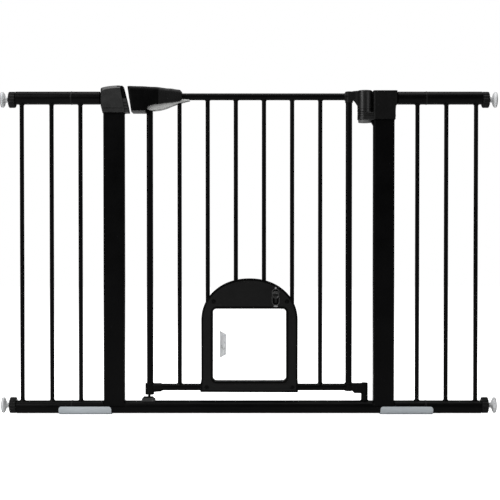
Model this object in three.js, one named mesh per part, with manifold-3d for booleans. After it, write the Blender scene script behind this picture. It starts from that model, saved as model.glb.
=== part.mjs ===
// A pressure-mounted walk-through pet gate: a U-shaped frame with two flat posts, a bottom rail and
// screw-in extension kits on both sides, a self-closing lift-and-swing door, and a small pet door.
// Millimetres. +X runs across the opening, +Y runs away from the viewer, +Z is up.
// The origin is the middle of the span, on the floor line. The heights in this file are measured from
// a line SET_DOWN below the floor; the whole gate is set down by that much at the end.

import * as THREE from 'three';
import { mergeVertices } from 'three/addons/utils/BufferGeometryUtils.js';
import Module from 'manifold-3d';

const wasm = await Module();
wasm.setup();

// ---------------------------------------------------------------- driving dimensions

const GAP = 0.3; // air between two pieces that meet

const TUBE = { r: 15, wall: 1.2, sides: 20 };
const BAR = { r: 5, wall: 1, sides: 12 };
const STILE = { r: 7.5, wall: 1.2, sides: 16 };
const RAIL = { r: 8, wall: 1.2, sides: 16 };

const SET_DOWN = 5; // brings the join clips' undersides to the floor line
const LOW_Z = 22.5; // axis height of the lower frame and extension tubes
const HIGH_Z = 740; // axis height of the upper extension tubes

const POST = { x: 312.7, width: 48, depth: 30, wall: 1.5, corner: 4, top: 728 };
const CAP_HALF_DEPTH = 20;
const CAP_OUTER_X = 342.6;
const FRAME_END_X = 338; // end of the bottom rail, where the extension kit plugs on
const KIT_SEAM_X = 411; // joint between the inner and the outer extension kit
const TUBE_END_X = 540.4; // free end of the outer extension kit
const INNER_KIT_BAR_X = 391;
const OUTER_KIT_BARS_X = [458, 527];

const DOOR_TOP_Z = 743;
const DOOR_LOW_Z = 68.7;
const STILE_LEFT_X = -230;
const STILE_RIGHT_X = 232;
const STILE_FOOT_Z = 54;
const DOOR_CENTRE_X = 2.3;
const BAR_PITCH = 65.3;
const BAR_COUNT = 6;

const PIVOT_X = 269;
const BARREL = { r: 17.5, base: 706.8, top: 757.5 };
const HINGE_PIN_R = 4;
const HINGE_LUG = { base: 683, top: 706.4 };

// The cap on the left post: its foot, its shoulder, its nose at the foot and at the top, its top edge.
const STRIKE = { low: 705, shoulder: 722, noseLow: -277.5, noseTop: -291.5, top: 768, outerTop: 763 };
const BOLT_POCKET = { from: -302, to: -270, halfDepth: 10, low: 733, high: 757 };
const HINGE_CAP = {
  inner: 287.3, outer: 338.6, low: 690, high: 756, sleeveFrom: 296, sleeveLow: 724,
  flange: 341.2, flangeLow: 697, flangeHigh: 725,
};
const HINGE_GUARD = { from: 284.6, near: 12, far: 19, high: 752 }; // the cap's web behind the barrel
const SPRING = { r: 8.2, wire: 1.1, low: 691, high: 704, turns: 4 };

const SADDLE = { left: -249, right: -218, low: 26, shoulder: 39, top: 46.2, halfDepth: 13 };
const GROOVE = { from: -238, to: -226, low: 40 }; // runs through the saddle along Y
const SOCKET = { r: 8, bore: 3.9, top: 54.8 };
const CLIP = { length: 122, leftX: -380, rightX: 366, wall: 2.2, lip: 2.3 }; // lip: height above the axis

const HINGE_ARM = { knuckleR: 10.8, low: 729, high: 754.5, halfDepth: 9.5, sleeveTop: 744 };
const LOW_ARM = { low: 51, high: 79, bossLow: 55.2, halfDepth: 7, pinR: 3.5, pinLow: 41 };
const FOOT = { r: 10.5, low: 50.5, high: 78, halfDepth: 7, pinX: -232, pinR: 3.2, pinLow: 42 };

// The grip: its heel beside the strike, and its nose above the second space between the bars.
const HANDLE = {
  heelX: -271.5, topX: -280.5, low: 706, top: 767, noseX: -155, halfDepth: 22, wall: 3, slotHalf: 15,
};
const TRIGGER = { halfDepth: 14, innerHalf: 9.3, pivotX: -172, pivotZ: 731, stubR: 2.2, stubReach: 17.5 };
const BOLT = { tip: -278, tail: -245, halfDepth: 7, low: 735, high: 747, chamfer: 2 };

const ARCH_BAR_FOOT_Z = 302; // the two middle bars end here, inside the arch
const PET = {
  x: 1.3, halfWidth: 111.7, base: 58.3, springZ: 225, rise: 94.5, halfDepth: 12,
  openLeft: -83.7, openRight: 86.5, openLow: 83.2, openHigh: 251.8, corner: 9,
};
const FLAP = {
  pivotX: 78.5, barrelR: 3.5, stubR: 2.2, stubLow: 78, stubHigh: 257.5, halfThick: 1.5, clear: 2.2,
};
const GRIP = { left: -68, right: -53, low: 137, high: 199, taper: 8, reach: 8 };
const GRIP_CORE = { left: -65, right: -56, low: 148, high: 188 };
const LOCK = {
  x: 62, halfWidth: 4, halfDepth: 4.5, low: 254.2, high: 289,
  knobZ: 284, knobR: 9.5, knobFace: -15.5, stemHalf: 2, travel: 10,
};

const SCREW = { r: 3.5, inner: 485, bore: 3.9, inset: 4 }; // inset: axis off the tube's, towards mid-height
const NUT = { r: 18.7, from: 541, to: 556.6, lobes: 12 };
const PAD = { r: 18.3, from: 566.5, to: 574, neck: 559, neckR: 6, seat: 570.3 };

// ---------------------------------------------------------------- materials

function paint(color, roughness, metalness) {
  return new THREE.MeshStandardMaterial({ color, roughness, metalness });
}

const STEEL_BLACK = paint(0x0b0b0c, 0.42, 0.3);
const PLASTIC_BLACK = paint(0x1c1c1d, 0.5, 0);
const PLASTIC_GREY = paint(0xaab2b7, 0.45, 0);
const TRIGGER_GREY = paint(0x96989a, 0.4, 0);
const ZINC = paint(0xb9bcc0, 0.35, 1);
const CLEAR = paint(0xe8eef0, 0.1, 0);
const PAD_GREY = paint(0xc4c8cb, 0.35, 0);

// ---------------------------------------------------------------- solids

function toSolid(geometry) {
  const bare = (geometry.index ? geometry.toNonIndexed() : geometry).clone();
  bare.deleteAttribute('normal');
  bare.deleteAttribute('uv');
  const merged = mergeVertices(bare, 1e-3);
  const vertProperties = new Float32Array(merged.attributes.position.array);
  const corners = merged.index.array;
  const kept = [];
  for (let i = 0; i < corners.length; i += 3) {
    const [a, b, c] = [corners[i], corners[i + 1], corners[i + 2]];
    if (a !== b && b !== c && c !== a) kept.push(a, b, c);
  }
  const triVerts = new Uint32Array(kept);
  return new wasm.Manifold(new wasm.Mesh({ numProp: 3, vertProperties, triVerts }));
}

function toGeometry(solid) {
  const { vertProperties, triVerts } = solid.getMesh();
  const geometry = new THREE.BufferGeometry();
  geometry.setAttribute('position', new THREE.BufferAttribute(new Float32Array(vertProperties), 3));
  geometry.setIndex(new THREE.BufferAttribute(new Uint32Array(triVerts), 1));
  geometry.computeVertexNormals();
  return geometry;
}

function join(...geometries) {
  return geometries.map(toSolid).reduce((all, one) => all.add(one));
}

function cut(base, ...tools) {
  const body = base instanceof THREE.BufferGeometry ? toSolid(base) : base;
  return tools.map(toSolid).reduce((left, tool) => left.subtract(tool), body);
}

// ---------------------------------------------------------------- basic shapes

function ring(r, wall) {
  const shape = new THREE.Shape().absarc(0, 0, r, 0, 2 * Math.PI, false);
  shape.holes.push(new THREE.Path().absarc(0, 0, r - wall, 0, 2 * Math.PI, true));
  return shape;
}

function straight(shape, length, segments) {
  return new THREE.ExtrudeGeometry(shape, { depth: length, bevelEnabled: false, curveSegments: segments });
}

function pipeX(size, x0, x1, z) {
  return straight(ring(size.r, size.wall), x1 - x0, size.sides / 2).rotateY(Math.PI / 2).translate(x0, 0, z);
}

function pipeZ(size, x, z0, z1) {
  return straight(ring(size.r, size.wall), z1 - z0, size.sides / 2).translate(x, 0, z0);
}

function rodX(r, x0, x1, z, sides = 20) {
  const rod = new THREE.CylinderGeometry(r, r, x1 - x0, sides);
  return rod.rotateZ(-Math.PI / 2).translate((x0 + x1) / 2, 0, z);
}

function rodY(r, x, y0, y1, z, sides = 12) {
  return new THREE.CylinderGeometry(r, r, y1 - y0, sides).translate(x, (y0 + y1) / 2, z);
}

function rodZ(r, x, z0, z1, sides = 14, topR = r) {
  const rod = new THREE.CylinderGeometry(topR, r, z1 - z0, sides);
  return rod.rotateX(Math.PI / 2).translate(x, 0, (z0 + z1) / 2);
}

function box(x0, x1, y0, y1, z0, z1) {
  const block = new THREE.BoxGeometry(x1 - x0, y1 - y0, z1 - z0);
  return block.translate((x0 + x1) / 2, (y0 + y1) / 2, (z0 + z1) / 2);
}

// An outline drawn in X and Z, made solid from y0 to y1, its edges rounded over by the bevel.
function plate(shape, y0, y1, bevel = 0, segments = 8) {
  const solid = new THREE.ExtrudeGeometry(shape, {
    depth: y1 - y0 - 2 * bevel, bevelEnabled: bevel > 0, bevelThickness: bevel, bevelSize: bevel,
    bevelOffset: -bevel, bevelSegments: 2, curveSegments: segments,
  });
  return solid.rotateX(Math.PI / 2).translate(0, y1 - bevel, 0);
}

function roundedBox(x0, x1, z0, z1, r, Outline = THREE.Shape) {
  const outline = new Outline();
  outline.absarc(x0 + r, z0 + r, r, Math.PI, 1.5 * Math.PI, false);
  outline.absarc(x1 - r, z0 + r, r, 1.5 * Math.PI, 2 * Math.PI, false);
  outline.absarc(x1 - r, z1 - r, r, 0, 0.5 * Math.PI, false);
  outline.absarc(x0 + r, z1 - r, r, 0.5 * Math.PI, Math.PI, false);
  outline.closePath();
  return outline;
}

function polygon(points) {
  return new THREE.Shape(points.map(([x, z]) => new THREE.Vector2(x, z)));
}

// A turned piece about the X axis. The profile lists [distance along the axis, radius].
function turned(profile, side, z, sides = 20) {
  const points = profile.map(([along, r]) => new THREE.Vector2(r, along));
  return new THREE.LatheGeometry(points, sides).rotateZ(-side * Math.PI / 2).translate(0, 0, z);
}

// ---------------------------------------------------------------- the assembly

const gate = new THREE.Group();

function add(name, shape, material) {
  const geometry = shape instanceof THREE.BufferGeometry ? shape : toGeometry(shape);
  const mesh = new THREE.Mesh(geometry, material);
  mesh.name = name;
  gate.add(mesh);
}

const SIDES = [['left', -1], ['right', 1]];
const LEVELS = [['top', HIGH_Z, HIGH_Z - SCREW.inset], ['bottom', LOW_Z, LOW_Z + SCREW.inset]];

// ---------------------------------------------------------------- frame

function post(side) {
  const half = POST.width / 2;
  const deep = POST.depth / 2;
  const outline = roundedBox(-half, half, -deep, deep, POST.corner);
  const inner = [half - POST.wall, deep - POST.wall];
  const innerCorner = POST.corner - POST.wall;
  outline.holes.push(roundedBox(-inner[0], inner[0], -inner[1], inner[1], innerCorner, THREE.Path));
  const column = straight(outline, POST.top - LOW_Z, 3).translate(side * POST.x, 0, LOW_Z);
  return cut(column, rodX(TUBE.r + GAP, -FRAME_END_X - 9, FRAME_END_X + 9, LOW_Z));
}

function postSocket(side) {
  const reach = POST.width / 2 + GAP;
  const deep = POST.depth / 2 + GAP;
  const x = side * POST.x;
  return box(x - reach, x + reach, -deep, deep, HINGE_LUG.base - 15, POST.top + GAP);
}

// The cap on the left post, with the nose that faces the handle and the pocket for its bolt.
function strikeHousing() {
  const { low, shoulder, noseLow, noseTop, top, outerTop } = STRIKE;
  const outline = new THREE.Shape();
  outline.moveTo(-CAP_OUTER_X + 4.3, low);
  outline.lineTo(noseLow, low);
  outline.quadraticCurveTo(noseLow - 4.5, low + 33, noseTop, top);
  outline.quadraticCurveTo(-CAP_OUTER_X + 17.6, top - 1, -CAP_OUTER_X + 3, outerTop);
  outline.quadraticCurveTo(-CAP_OUTER_X, outerTop - 1, -CAP_OUTER_X, outerTop - 5);
  outline.lineTo(-CAP_OUTER_X, shoulder);
  outline.closePath();
  const pocket = BOLT_POCKET;
  return cut(
    plate(outline, -CAP_HALF_DEPTH, CAP_HALF_DEPTH, 2),
    postSocket(-1),
    box(pocket.from, pocket.to, -pocket.halfDepth, pocket.halfDepth, pocket.low, pocket.high),
  );
}

// The cap on the right post, with the lug that carries the hinge pin and its closing spring.
function hingeBracket() {
  const { inner, outer, low, high, sleeveFrom, sleeveLow, flange, flangeLow, flangeHigh } = HINGE_CAP;
  const guard = HINGE_GUARD;
  const capPlan = roundedBox(inner, outer, -CAP_HALF_DEPTH, CAP_HALF_DEPTH, 4);
  const sleevePlan = roundedBox(sleeveFrom, CAP_OUTER_X, -CAP_HALF_DEPTH, CAP_HALF_DEPTH, 4);
  const lugPlan = new THREE.Shape();
  lugPlan.absarc(PIVOT_X, 0, BARREL.r, 0.5 * Math.PI, 1.5 * Math.PI, false);
  lugPlan.lineTo(inner + 1, -BARREL.r);
  lugPlan.lineTo(inner + 1, BARREL.r);
  lugPlan.closePath();
  return cut(
    join(
      straight(capPlan, high - low, 3).translate(0, 0, low),
      straight(sleevePlan, high - sleeveLow, 3).translate(0, 0, sleeveLow),
      straight(lugPlan, HINGE_LUG.top - HINGE_LUG.base, 10).translate(0, 0, HINGE_LUG.base),
      box(outer - 1, flange, -8, 8, flangeLow, flangeHigh),
      box(guard.from, inner + 1, guard.near, guard.far, HINGE_LUG.base + 5, guard.high),
    ),
    postSocket(1),
    rodZ(HINGE_PIN_R + GAP, PIVOT_X, HINGE_LUG.base + 2, HINGE_LUG.top + 10),
    rodZ(12, PIVOT_X, SPRING.low - 2, HINGE_LUG.top + 10),
  );
}

class Helix extends THREE.Curve {
  constructor(r, z0, z1, turns) {
    super();
    Object.assign(this, { r, z0, z1, turns });
  }

  getPoint(t) {
    const angle = 2 * Math.PI * this.turns * t;
    const z = this.z0 + (this.z1 - this.z0) * t;
    return new THREE.Vector3(this.r * Math.cos(angle), this.r * Math.sin(angle), z);
  }
}

function closingSpring() {
  const { r, low, high, turns } = SPRING;
  const wire = new THREE.Shape().absarc(0, 0, SPRING.wire, 0, 2 * Math.PI, false);
  const path = new Helix(r, low, high, turns);
  const options = { steps: turns * 8, bevelEnabled: false, extrudePath: path, curveSegments: 3 };
  return new THREE.ExtrudeGeometry(wire, options).translate(PIVOT_X, 0, 0);
}

// The saddle on the bottom rail that the door's foot pin drops into. Its groove runs along Y.
function latchBase() {
  const { left, right, low, shoulder, top, halfDepth } = SADDLE;
  const outline = polygon([
    [left, low], [right, low], [right, shoulder], [right - 5, top], [left + 5, top], [left, shoulder],
  ]);
  return cut(
    plate(outline, -halfDepth, halfDepth, 1),
    rodX(TUBE.r + GAP, left - 11, right + 8, LOW_Z),
    box(GROOVE.from, GROOVE.to, -20, 20, GROOVE.low, top + 10),
  );
}

function lowerHingeSocket() {
  const stub = rodZ(SOCKET.r, PIVOT_X, LOW_Z + 5, SOCKET.top);
  return cut(stub, rodX(TUBE.r + GAP, PIVOT_X - 20, PIVOT_X + 20, LOW_Z), rodZ(SOCKET.bore, PIVOT_X, 30, 60));
}

function frame() {
  add('bottom_rail', pipeX(TUBE, -FRAME_END_X, FRAME_END_X, LOW_Z), STEEL_BLACK);
  for (const [name, side] of SIDES) add(`post_${name}`, post(side), STEEL_BLACK);
  add('strike_housing', strikeHousing(), PLASTIC_BLACK);
  add('hinge_bracket', hingeBracket(), PLASTIC_BLACK);
  add('hinge_pin', rodZ(HINGE_PIN_R, PIVOT_X, HINGE_LUG.base + 2.3, HINGE_ARM.sleeveTop, 20), ZINC);
  add('closing_spring', closingSpring(), ZINC);
  add('latch_base', latchBase(), PLASTIC_BLACK);
  add('lower_hinge_socket', lowerHingeSocket(), PLASTIC_BLACK);
}

// ---------------------------------------------------------------- extension kits

function span(side, from, to) {
  return side > 0 ? [from, to] : [-to, -from];
}

function frameBar(x) {
  const bar = pipeZ(BAR, x, LOW_Z + 5, HIGH_Z - 5);
  return cut(bar, rodX(TUBE.r + GAP, x - 9, x + 9, LOW_Z), rodX(TUBE.r + GAP, x - 9, x + 9, HIGH_Z));
}

// The outer kit's tube is closed at its free end by a wall with a clearance hole for the screw.
function endedTube(side, z, screwZ) {
  const inner = TUBE.r - TUBE.wall;
  const from = KIT_SEAM_X + GAP;
  const wallAt = TUBE_END_X - 5;
  const tube = turned([
    [wallAt, 0], [wallAt, inner], [from, inner], [from, TUBE.r], [TUBE_END_X, TUBE.r], [TUBE_END_X, 0],
  ], side, z, TUBE.sides);
  return cut(tube, rodX(SCREW.bore, ...span(side, wallAt - 5, TUBE_END_X + 5), screwZ, 12));
}

function extensionKits() {
  for (const [name, side] of SIDES) {
    for (const [level, z, screwZ] of LEVELS) {
      const start = level === 'top' ? CAP_OUTER_X + 2.4 : FRAME_END_X + GAP;
      add(`inner_kit_${name}_${level}_tube`, pipeX(TUBE, ...span(side, start, KIT_SEAM_X), z), STEEL_BLACK);
      add(`outer_kit_${name}_${level}_tube`, endedTube(side, z, screwZ), STEEL_BLACK);
    }
    add(`inner_kit_${name}_bar`, frameBar(side * INNER_KIT_BAR_X), STEEL_BLACK);
    for (const [i, x] of OUTER_KIT_BARS_X.entries()) {
      add(`outer_kit_${name}_bar_${i + 1}`, frameBar(side * x), STEEL_BLACK);
    }
  }
}

// A U-shaped grey sleeve snapped under the bottom tubes, bridging the frame and both kits.
function joinClip(centreX) {
  const inner = TUBE.r + GAP;
  const outer = inner + CLIP.wall;
  const lip = CLIP.lip / inner; // the angle of the sleeve's edges above the tube's axis
  const section = new THREE.Shape();
  section.absarc(0, 0, outer, lip, Math.PI - lip, true);
  section.absarc(0, 0, inner, Math.PI - lip, lip, false);
  section.closePath();
  const sleeve = straight(section, CLIP.length, 12).rotateX(Math.PI / 2).rotateZ(Math.PI / 2);
  return sleeve.translate(centreX - CLIP.length / 2, 0, LOW_Z);
}

function joinClips() {
  add('join_clip_left', joinClip(CLIP.leftX), PLASTIC_GREY);
  add('join_clip_right', joinClip(CLIP.rightX), PLASTIC_GREY);
}

// ---------------------------------------------------------------- wall adjusters

function handNut(side, z) {
  const outline = new THREE.Shape();
  const steps = NUT.lobes * 2;
  for (let i = 0; i < steps; i += 1) {
    const angle = (2 * Math.PI * i) / steps;
    const r = NUT.r - 0.6 * (1 - Math.cos(NUT.lobes * angle));
    outline[i === 0 ? 'moveTo' : 'lineTo'](r * Math.cos(angle), r * Math.sin(angle));
  }
  outline.closePath();
  outline.holes.push(new THREE.Path().absarc(0, 0, SCREW.bore, 0, 2 * Math.PI, true));
  const wheel = straight(outline, NUT.to - NUT.from, 10).rotateY(side * Math.PI / 2);
  return wheel.translate(side * NUT.from, 0, z);
}

function screw(side, z) {
  return rodX(SCREW.r, ...span(side, SCREW.inner, PAD.seat - GAP), z, 12);
}

function wallPad(side, z) {
  return turned([
    [PAD.seat, 0], [PAD.seat, SCREW.bore], [PAD.neck, SCREW.bore], [PAD.neck, PAD.neckR],
    [PAD.from - 1, PAD.neckR + 2], [PAD.from, PAD.r], [PAD.to, PAD.r], [PAD.to, 0],
  ], side, z);
}

function wallAdjusters() {
  for (const [name, side] of SIDES) {
    for (const [level, , z] of LEVELS) {
      add(`hand_nut_${name}_${level}`, handNut(side, z), PLASTIC_BLACK);
      add(`screw_${name}_${level}`, screw(side, z), ZINC);
      add(`wall_pad_${name}_${level}`, wallPad(side, z), PAD_GREY);
    }
  }
}

// ---------------------------------------------------------------- door

function doorBarX(i) {
  return DOOR_CENTRE_X + (i - (BAR_COUNT - 1) / 2) * BAR_PITCH;
}

// The space that a door rail needs, between two places along it.
function railBore(z, x0 = -260, x1 = 260) {
  return rodX(RAIL.r + GAP, x0, x1, z);
}

function stileBore(x, z0, z1) {
  return rodZ(STILE.r + GAP, x, z0, z1);
}

// The two middle bars stop inside the arch of the pet door; the others reach the bottom rail.
function doorBar(i) {
  const x = doorBarX(i);
  const isMiddle = i === 2 || i === 3;
  const bar = pipeZ(BAR, x, isMiddle ? ARCH_BAR_FOOT_Z : DOOR_LOW_Z, DOOR_TOP_Z);
  return isMiddle ? cut(bar, railBore(DOOR_TOP_Z)) : cut(bar, railBore(DOOR_TOP_Z), railBore(DOOR_LOW_Z));
}

function doorLowRail() {
  const rail = pipeX(RAIL, STILE_LEFT_X + 4, STILE_RIGHT_X - 4, DOOR_LOW_Z);
  return cut(rail, stileBore(STILE_LEFT_X, 40, 100), stileBore(STILE_RIGHT_X, 40, 100));
}

function doorLadder() {
  add('door_top_rail', pipeX(RAIL, STILE_LEFT_X - 6, STILE_RIGHT_X + 7, DOOR_TOP_Z), STEEL_BLACK);
  add('door_bottom_rail', doorLowRail(), STEEL_BLACK);
  for (const [name, x] of [['left', STILE_LEFT_X], ['right', STILE_RIGHT_X]]) {
    const stile = pipeZ(STILE, x, STILE_FOOT_Z, DOOR_TOP_Z);
    add(`door_stile_${name}`, cut(stile, railBore(DOOR_TOP_Z)), STEEL_BLACK);
  }
  for (let i = 0; i < BAR_COUNT; i += 1) add(`door_bar_${i + 1}`, doorBar(i), STEEL_BLACK);
}

function hexRod(acrossFlats, z0, z1) {
  return rodZ(acrossFlats / Math.sqrt(3), PIVOT_X, z0, z1, 6);
}

// The moulded arm from the door's top corner to the hinge barrel, which slides up on a hex sleeve.
function hingeArm() {
  const { knuckleR, low, high, halfDepth, sleeveTop } = HINGE_ARM;
  const webTop = BARREL.top - 0.7;
  const arch = new THREE.Shape();
  arch.moveTo(STILE_RIGHT_X, low + 0.5);
  arch.quadraticCurveTo(STILE_RIGHT_X + 13, low + 4, PIVOT_X - 13, low - 7);
  arch.lineTo(PIVOT_X - 7, low - 7);
  arch.lineTo(PIVOT_X - 7, webTop);
  arch.quadraticCurveTo(STILE_RIGHT_X + 16, webTop, STILE_RIGHT_X, high - 1);
  arch.closePath();
  return cut(
    join(
      rodZ(BARREL.r, PIVOT_X, BARREL.base, BARREL.top - 1.5, 20),
      rodZ(BARREL.r, PIVOT_X, BARREL.top - 1.5, BARREL.top, 20, BARREL.r - 1.5),
      plate(arch, -halfDepth, halfDepth, 1.5),
      rodZ(knuckleR, STILE_RIGHT_X, low, high),
    ),
    hexRod(14.8, BARREL.base - 5, sleeveTop + 2),
    railBore(DOOR_TOP_Z, STILE_RIGHT_X - 32, STILE_RIGHT_X + 7 + GAP),
    stileBore(STILE_RIGHT_X, low - 9, DOOR_TOP_Z),
  );
}

function hingeSleeve() {
  const pinBore = rodZ(HINGE_PIN_R + GAP, PIVOT_X, BARREL.base - 5, HINGE_ARM.sleeveTop + 5);
  return cut(hexRod(14, BARREL.base, HINGE_ARM.sleeveTop), pinBore);
}

// The elbow at the door's lower corner, whose pin turns and lifts in the socket on the bottom rail.
function lowerHingeArm() {
  const { low, high, bossLow, halfDepth, pinR, pinLow } = LOW_ARM;
  const bracket = polygon([
    [STILE_RIGHT_X, 58], [STILE_RIGHT_X + 13, 58], [PIVOT_X - 17, bossLow + 0.2],
    [PIVOT_X, bossLow + 0.2], [PIVOT_X, high - 1], [STILE_RIGHT_X, high - 1],
  ]);
  return cut(
    join(
      plate(bracket, -halfDepth, halfDepth, 1),
      rodZ(SOCKET.r, PIVOT_X, bossLow, high),
      rodZ(10, STILE_RIGHT_X, low, high),
      rodZ(pinR, PIVOT_X, pinLow, bossLow + 5),
    ),
    railBore(DOOR_LOW_Z, STILE_RIGHT_X - 32, STILE_RIGHT_X + 4),
    stileBore(STILE_RIGHT_X, STILE_FOOT_Z - GAP, high + 11),
  );
}

// The foot at the door's free corner, with the pin that drops into the saddle on the bottom rail.
function latchFoot() {
  const { r, low, high, halfDepth, pinX, pinR, pinLow } = FOOT;
  const gusset = polygon([[-226, 58], [-212, 57.5], [-204, 62], [-204, 66], [-226, 66]]);
  return cut(
    join(
      rodZ(r, STILE_LEFT_X - 1, low, high),
      plate(gusset, -halfDepth, halfDepth),
      rodZ(pinR, pinX, pinLow, low + 5.5),
    ),
    railBore(DOOR_LOW_Z, STILE_LEFT_X - 4, STILE_LEFT_X + 40),
    stileBore(STILE_LEFT_X, STILE_FOOT_Z - GAP, high + 12),
  );
}

function doorHardware() {
  add('hinge_arm', hingeArm(), PLASTIC_BLACK);
  add('hinge_sleeve', hingeSleeve(), ZINC);
  add('lower_hinge_arm', lowerHingeArm(), PLASTIC_BLACK);
  add('latch_foot', latchFoot(), PLASTIC_BLACK);
}

// ---------------------------------------------------------------- handle, bolt and trigger

function handleOutline(inset) {
  const heel = HANDLE.heelX + inset;
  const nose = HANDLE.noseX - inset;
  const low = HANDLE.low + inset;
  const top = HANDLE.top - inset;
  const outline = new THREE.Shape();
  outline.moveTo(heel, low);
  outline.lineTo(-238 - inset, low);
  outline.quadraticCurveTo(-237 - inset, low + 14, -218, low + 17.5);
  outline.quadraticCurveTo(-190, low + 22, nose - 5, low + 24.5);
  outline.quadraticCurveTo(nose, low + 25, nose, low + 30);
  outline.lineTo(nose, top - 14);
  outline.quadraticCurveTo(nose, top - 9, nose - 6, top - 8);
  outline.quadraticCurveTo(-205, top - 1.5, HANDLE.topX + inset, top);
  outline.closePath();
  return outline;
}

function handleShell() {
  const { halfDepth, wall, slotHalf } = HANDLE;
  const slot = polygon([[-244, 700], [-130, 700], [-130, 741], [-244, 741]]);
  const stubBore = TRIGGER.stubReach + 0.5;
  return cut(
    plate(handleOutline(0), -halfDepth, halfDepth, 4),
    plate(handleOutline(wall), wall - halfDepth, halfDepth - wall),
    plate(slot, -slotHalf, slotHalf),
    railBore(DOOR_TOP_Z, STILE_LEFT_X - 6 - GAP, HANDLE.noseX + 15),
    box(-290, -260, -BOLT.halfDepth - 0.5, BOLT.halfDepth + 0.5, BOLT.low - 0.5, BOLT.high + 0.5),
    rodY(TRIGGER.stubR + GAP, TRIGGER.pivotX, -stubBore, stubBore, TRIGGER.pivotZ),
  );
}

function handle() {
  const shell = handleShell();
  const split = GAP / 2;
  const front = toSolid(box(-320, -120, -60, -split, 680, 800));
  const back = toSolid(box(-320, -120, split, 60, 680, 800));
  add('handle_front_shell', shell.intersect(front), PLASTIC_BLACK);
  add('handle_back_shell', shell.intersect(back), PLASTIC_BLACK);
}

// A squeeze lever of two cheeks, joined by a floor between the door's stile and its first bar.
function trigger() {
  const outline = new THREE.Shape();
  outline.moveTo(-237, 716.5);
  outline.quadraticCurveTo(-234, 710.4, -223, 710.4);
  outline.quadraticCurveTo(-203, 710.8, -186, 718);
  outline.quadraticCurveTo(-165, 727.5, -137, 733.5);
  outline.lineTo(-137, 736);
  outline.lineTo(-176, 737);
  outline.lineTo(-236, 721);
  outline.closePath();
  const { halfDepth, innerHalf, pivotX, pivotZ, stubR, stubReach } = TRIGGER;
  const stileSlot = polygon([
    [-250, 700], [-218.5, 700], [-218.5, 716], [-174, 733], [-174, 745], [-250, 745],
  ]);
  const hollow = polygon([[-219, 715], [-204, 717], [-180, 727], [-174, 745], [-219, 745]]);
  return cut(
    join(plate(outline, -halfDepth, halfDepth, 1), rodY(stubR, pivotX, -stubReach, stubReach, pivotZ)),
    plate(stileSlot, -innerHalf, innerHalf),
    plate(hollow, -innerHalf, innerHalf),
    box(-175, -120, -innerHalf, innerHalf, 700, 745),
  );
}

function latchBolt() {
  const { tip, tail, halfDepth, low, high, chamfer } = BOLT;
  const nose = tip + chamfer;
  const outline = polygon([
    [tip, low + 3], [nose, low], [tail, low], [tail, high], [nose, high], [tip, high - 3],
  ]);
  return plate(outline, -halfDepth, halfDepth);
}

function handleAssembly() {
  handle();
  add('trigger', trigger(), TRIGGER_GREY);
  add('latch_bolt', latchBolt(), ZINC);
}

// ---------------------------------------------------------------- pet door

function petOutline() {
  const { x, halfWidth, base, springZ, rise } = PET;
  const outline = new THREE.Shape();
  outline.moveTo(x - halfWidth - 2.5, base);
  outline.lineTo(x + halfWidth + 1, base - 1);
  outline.lineTo(x + halfWidth + 1, base + 20);
  outline.lineTo(x + halfWidth, base + 30);
  outline.absellipse(x, springZ, halfWidth, rise, 0, Math.PI, false);
  outline.lineTo(x - halfWidth, base + 30);
  outline.lineTo(x - halfWidth - 2.5, base + 16);
  outline.closePath();
  const { openLeft, openRight, openLow, openHigh, corner } = PET;
  outline.holes.push(roundedBox(openLeft, openRight, openLow, openHigh, corner, THREE.Path));
  return outline;
}

// One half of the clamped arch. Both halves are grooved for the bars, the rail and the flap's pins.
function petFrameHalf(y0, y1) {
  const cutters = [railBore(DOOR_LOW_Z)];
  for (const i of [1, 4]) cutters.push(rodZ(BAR.r + GAP, doorBarX(i), 40, 400, 12));
  for (const i of [2, 3]) cutters.push(rodZ(BAR.r + GAP, doorBarX(i), ARCH_BAR_FOOT_Z - GAP, 400, 12));
  cutters.push(rodZ(FLAP.stubR + GAP, FLAP.pivotX, FLAP.stubLow - 0.5, FLAP.stubHigh + 0.5, 12));
  const { x, low, high, knobZ, travel } = LOCK;
  const wide = LOCK.halfWidth + GAP;
  const deep = LOCK.halfDepth + GAP;
  cutters.push(box(x - wide, x + wide, -deep, deep, low - 9, high + GAP));
  if (y0 < 0) {
    cutters.push(box(x - 2.5, x + 2.5, -30, 0, knobZ - 3 - travel - GAP, knobZ + 3 + GAP));
    cutters.push(plate(roundedBox(x - 7, x + 7, low + 7, high + 7, 6.9), -30, -PET.halfDepth + 2.5));
  }
  return cut(plate(petOutline(), y0, y1, 0, 10), ...cutters);
}

function flapPanel() {
  const { pivotX, barrelR, stubR, stubLow, stubHigh, halfThick, clear } = FLAP;
  const core = GRIP_CORE;
  const low = PET.openLow + clear;
  const high = PET.openHigh - clear;
  const sheet = roundedBox(PET.openLeft + clear, pivotX, low, high, 7);
  return cut(
    join(
      plate(sheet, -halfThick, halfThick),
      rodZ(barrelR, pivotX, low, high, 12),
      rodZ(stubR, pivotX, stubLow, stubHigh, 12),
    ),
    box(core.left - GAP, core.right + GAP, -10, 10, core.low - GAP, core.high + GAP),
  );
}

// A tapered pull on each face of the flap, joined by a core that passes through it.
function flapGrip() {
  const { left, right, low, high, taper, reach } = GRIP;
  const outline = polygon([[left, low], [right, low + taper], [right, high - taper], [left, high]]);
  const face = FLAP.halfThick + GAP;
  const core = GRIP_CORE;
  return join(
    plate(outline, -reach, -face, 1),
    plate(outline, face, reach, 1),
    box(core.left, core.right, -reach / 2, reach / 2, core.low, core.high),
  );
}

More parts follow.
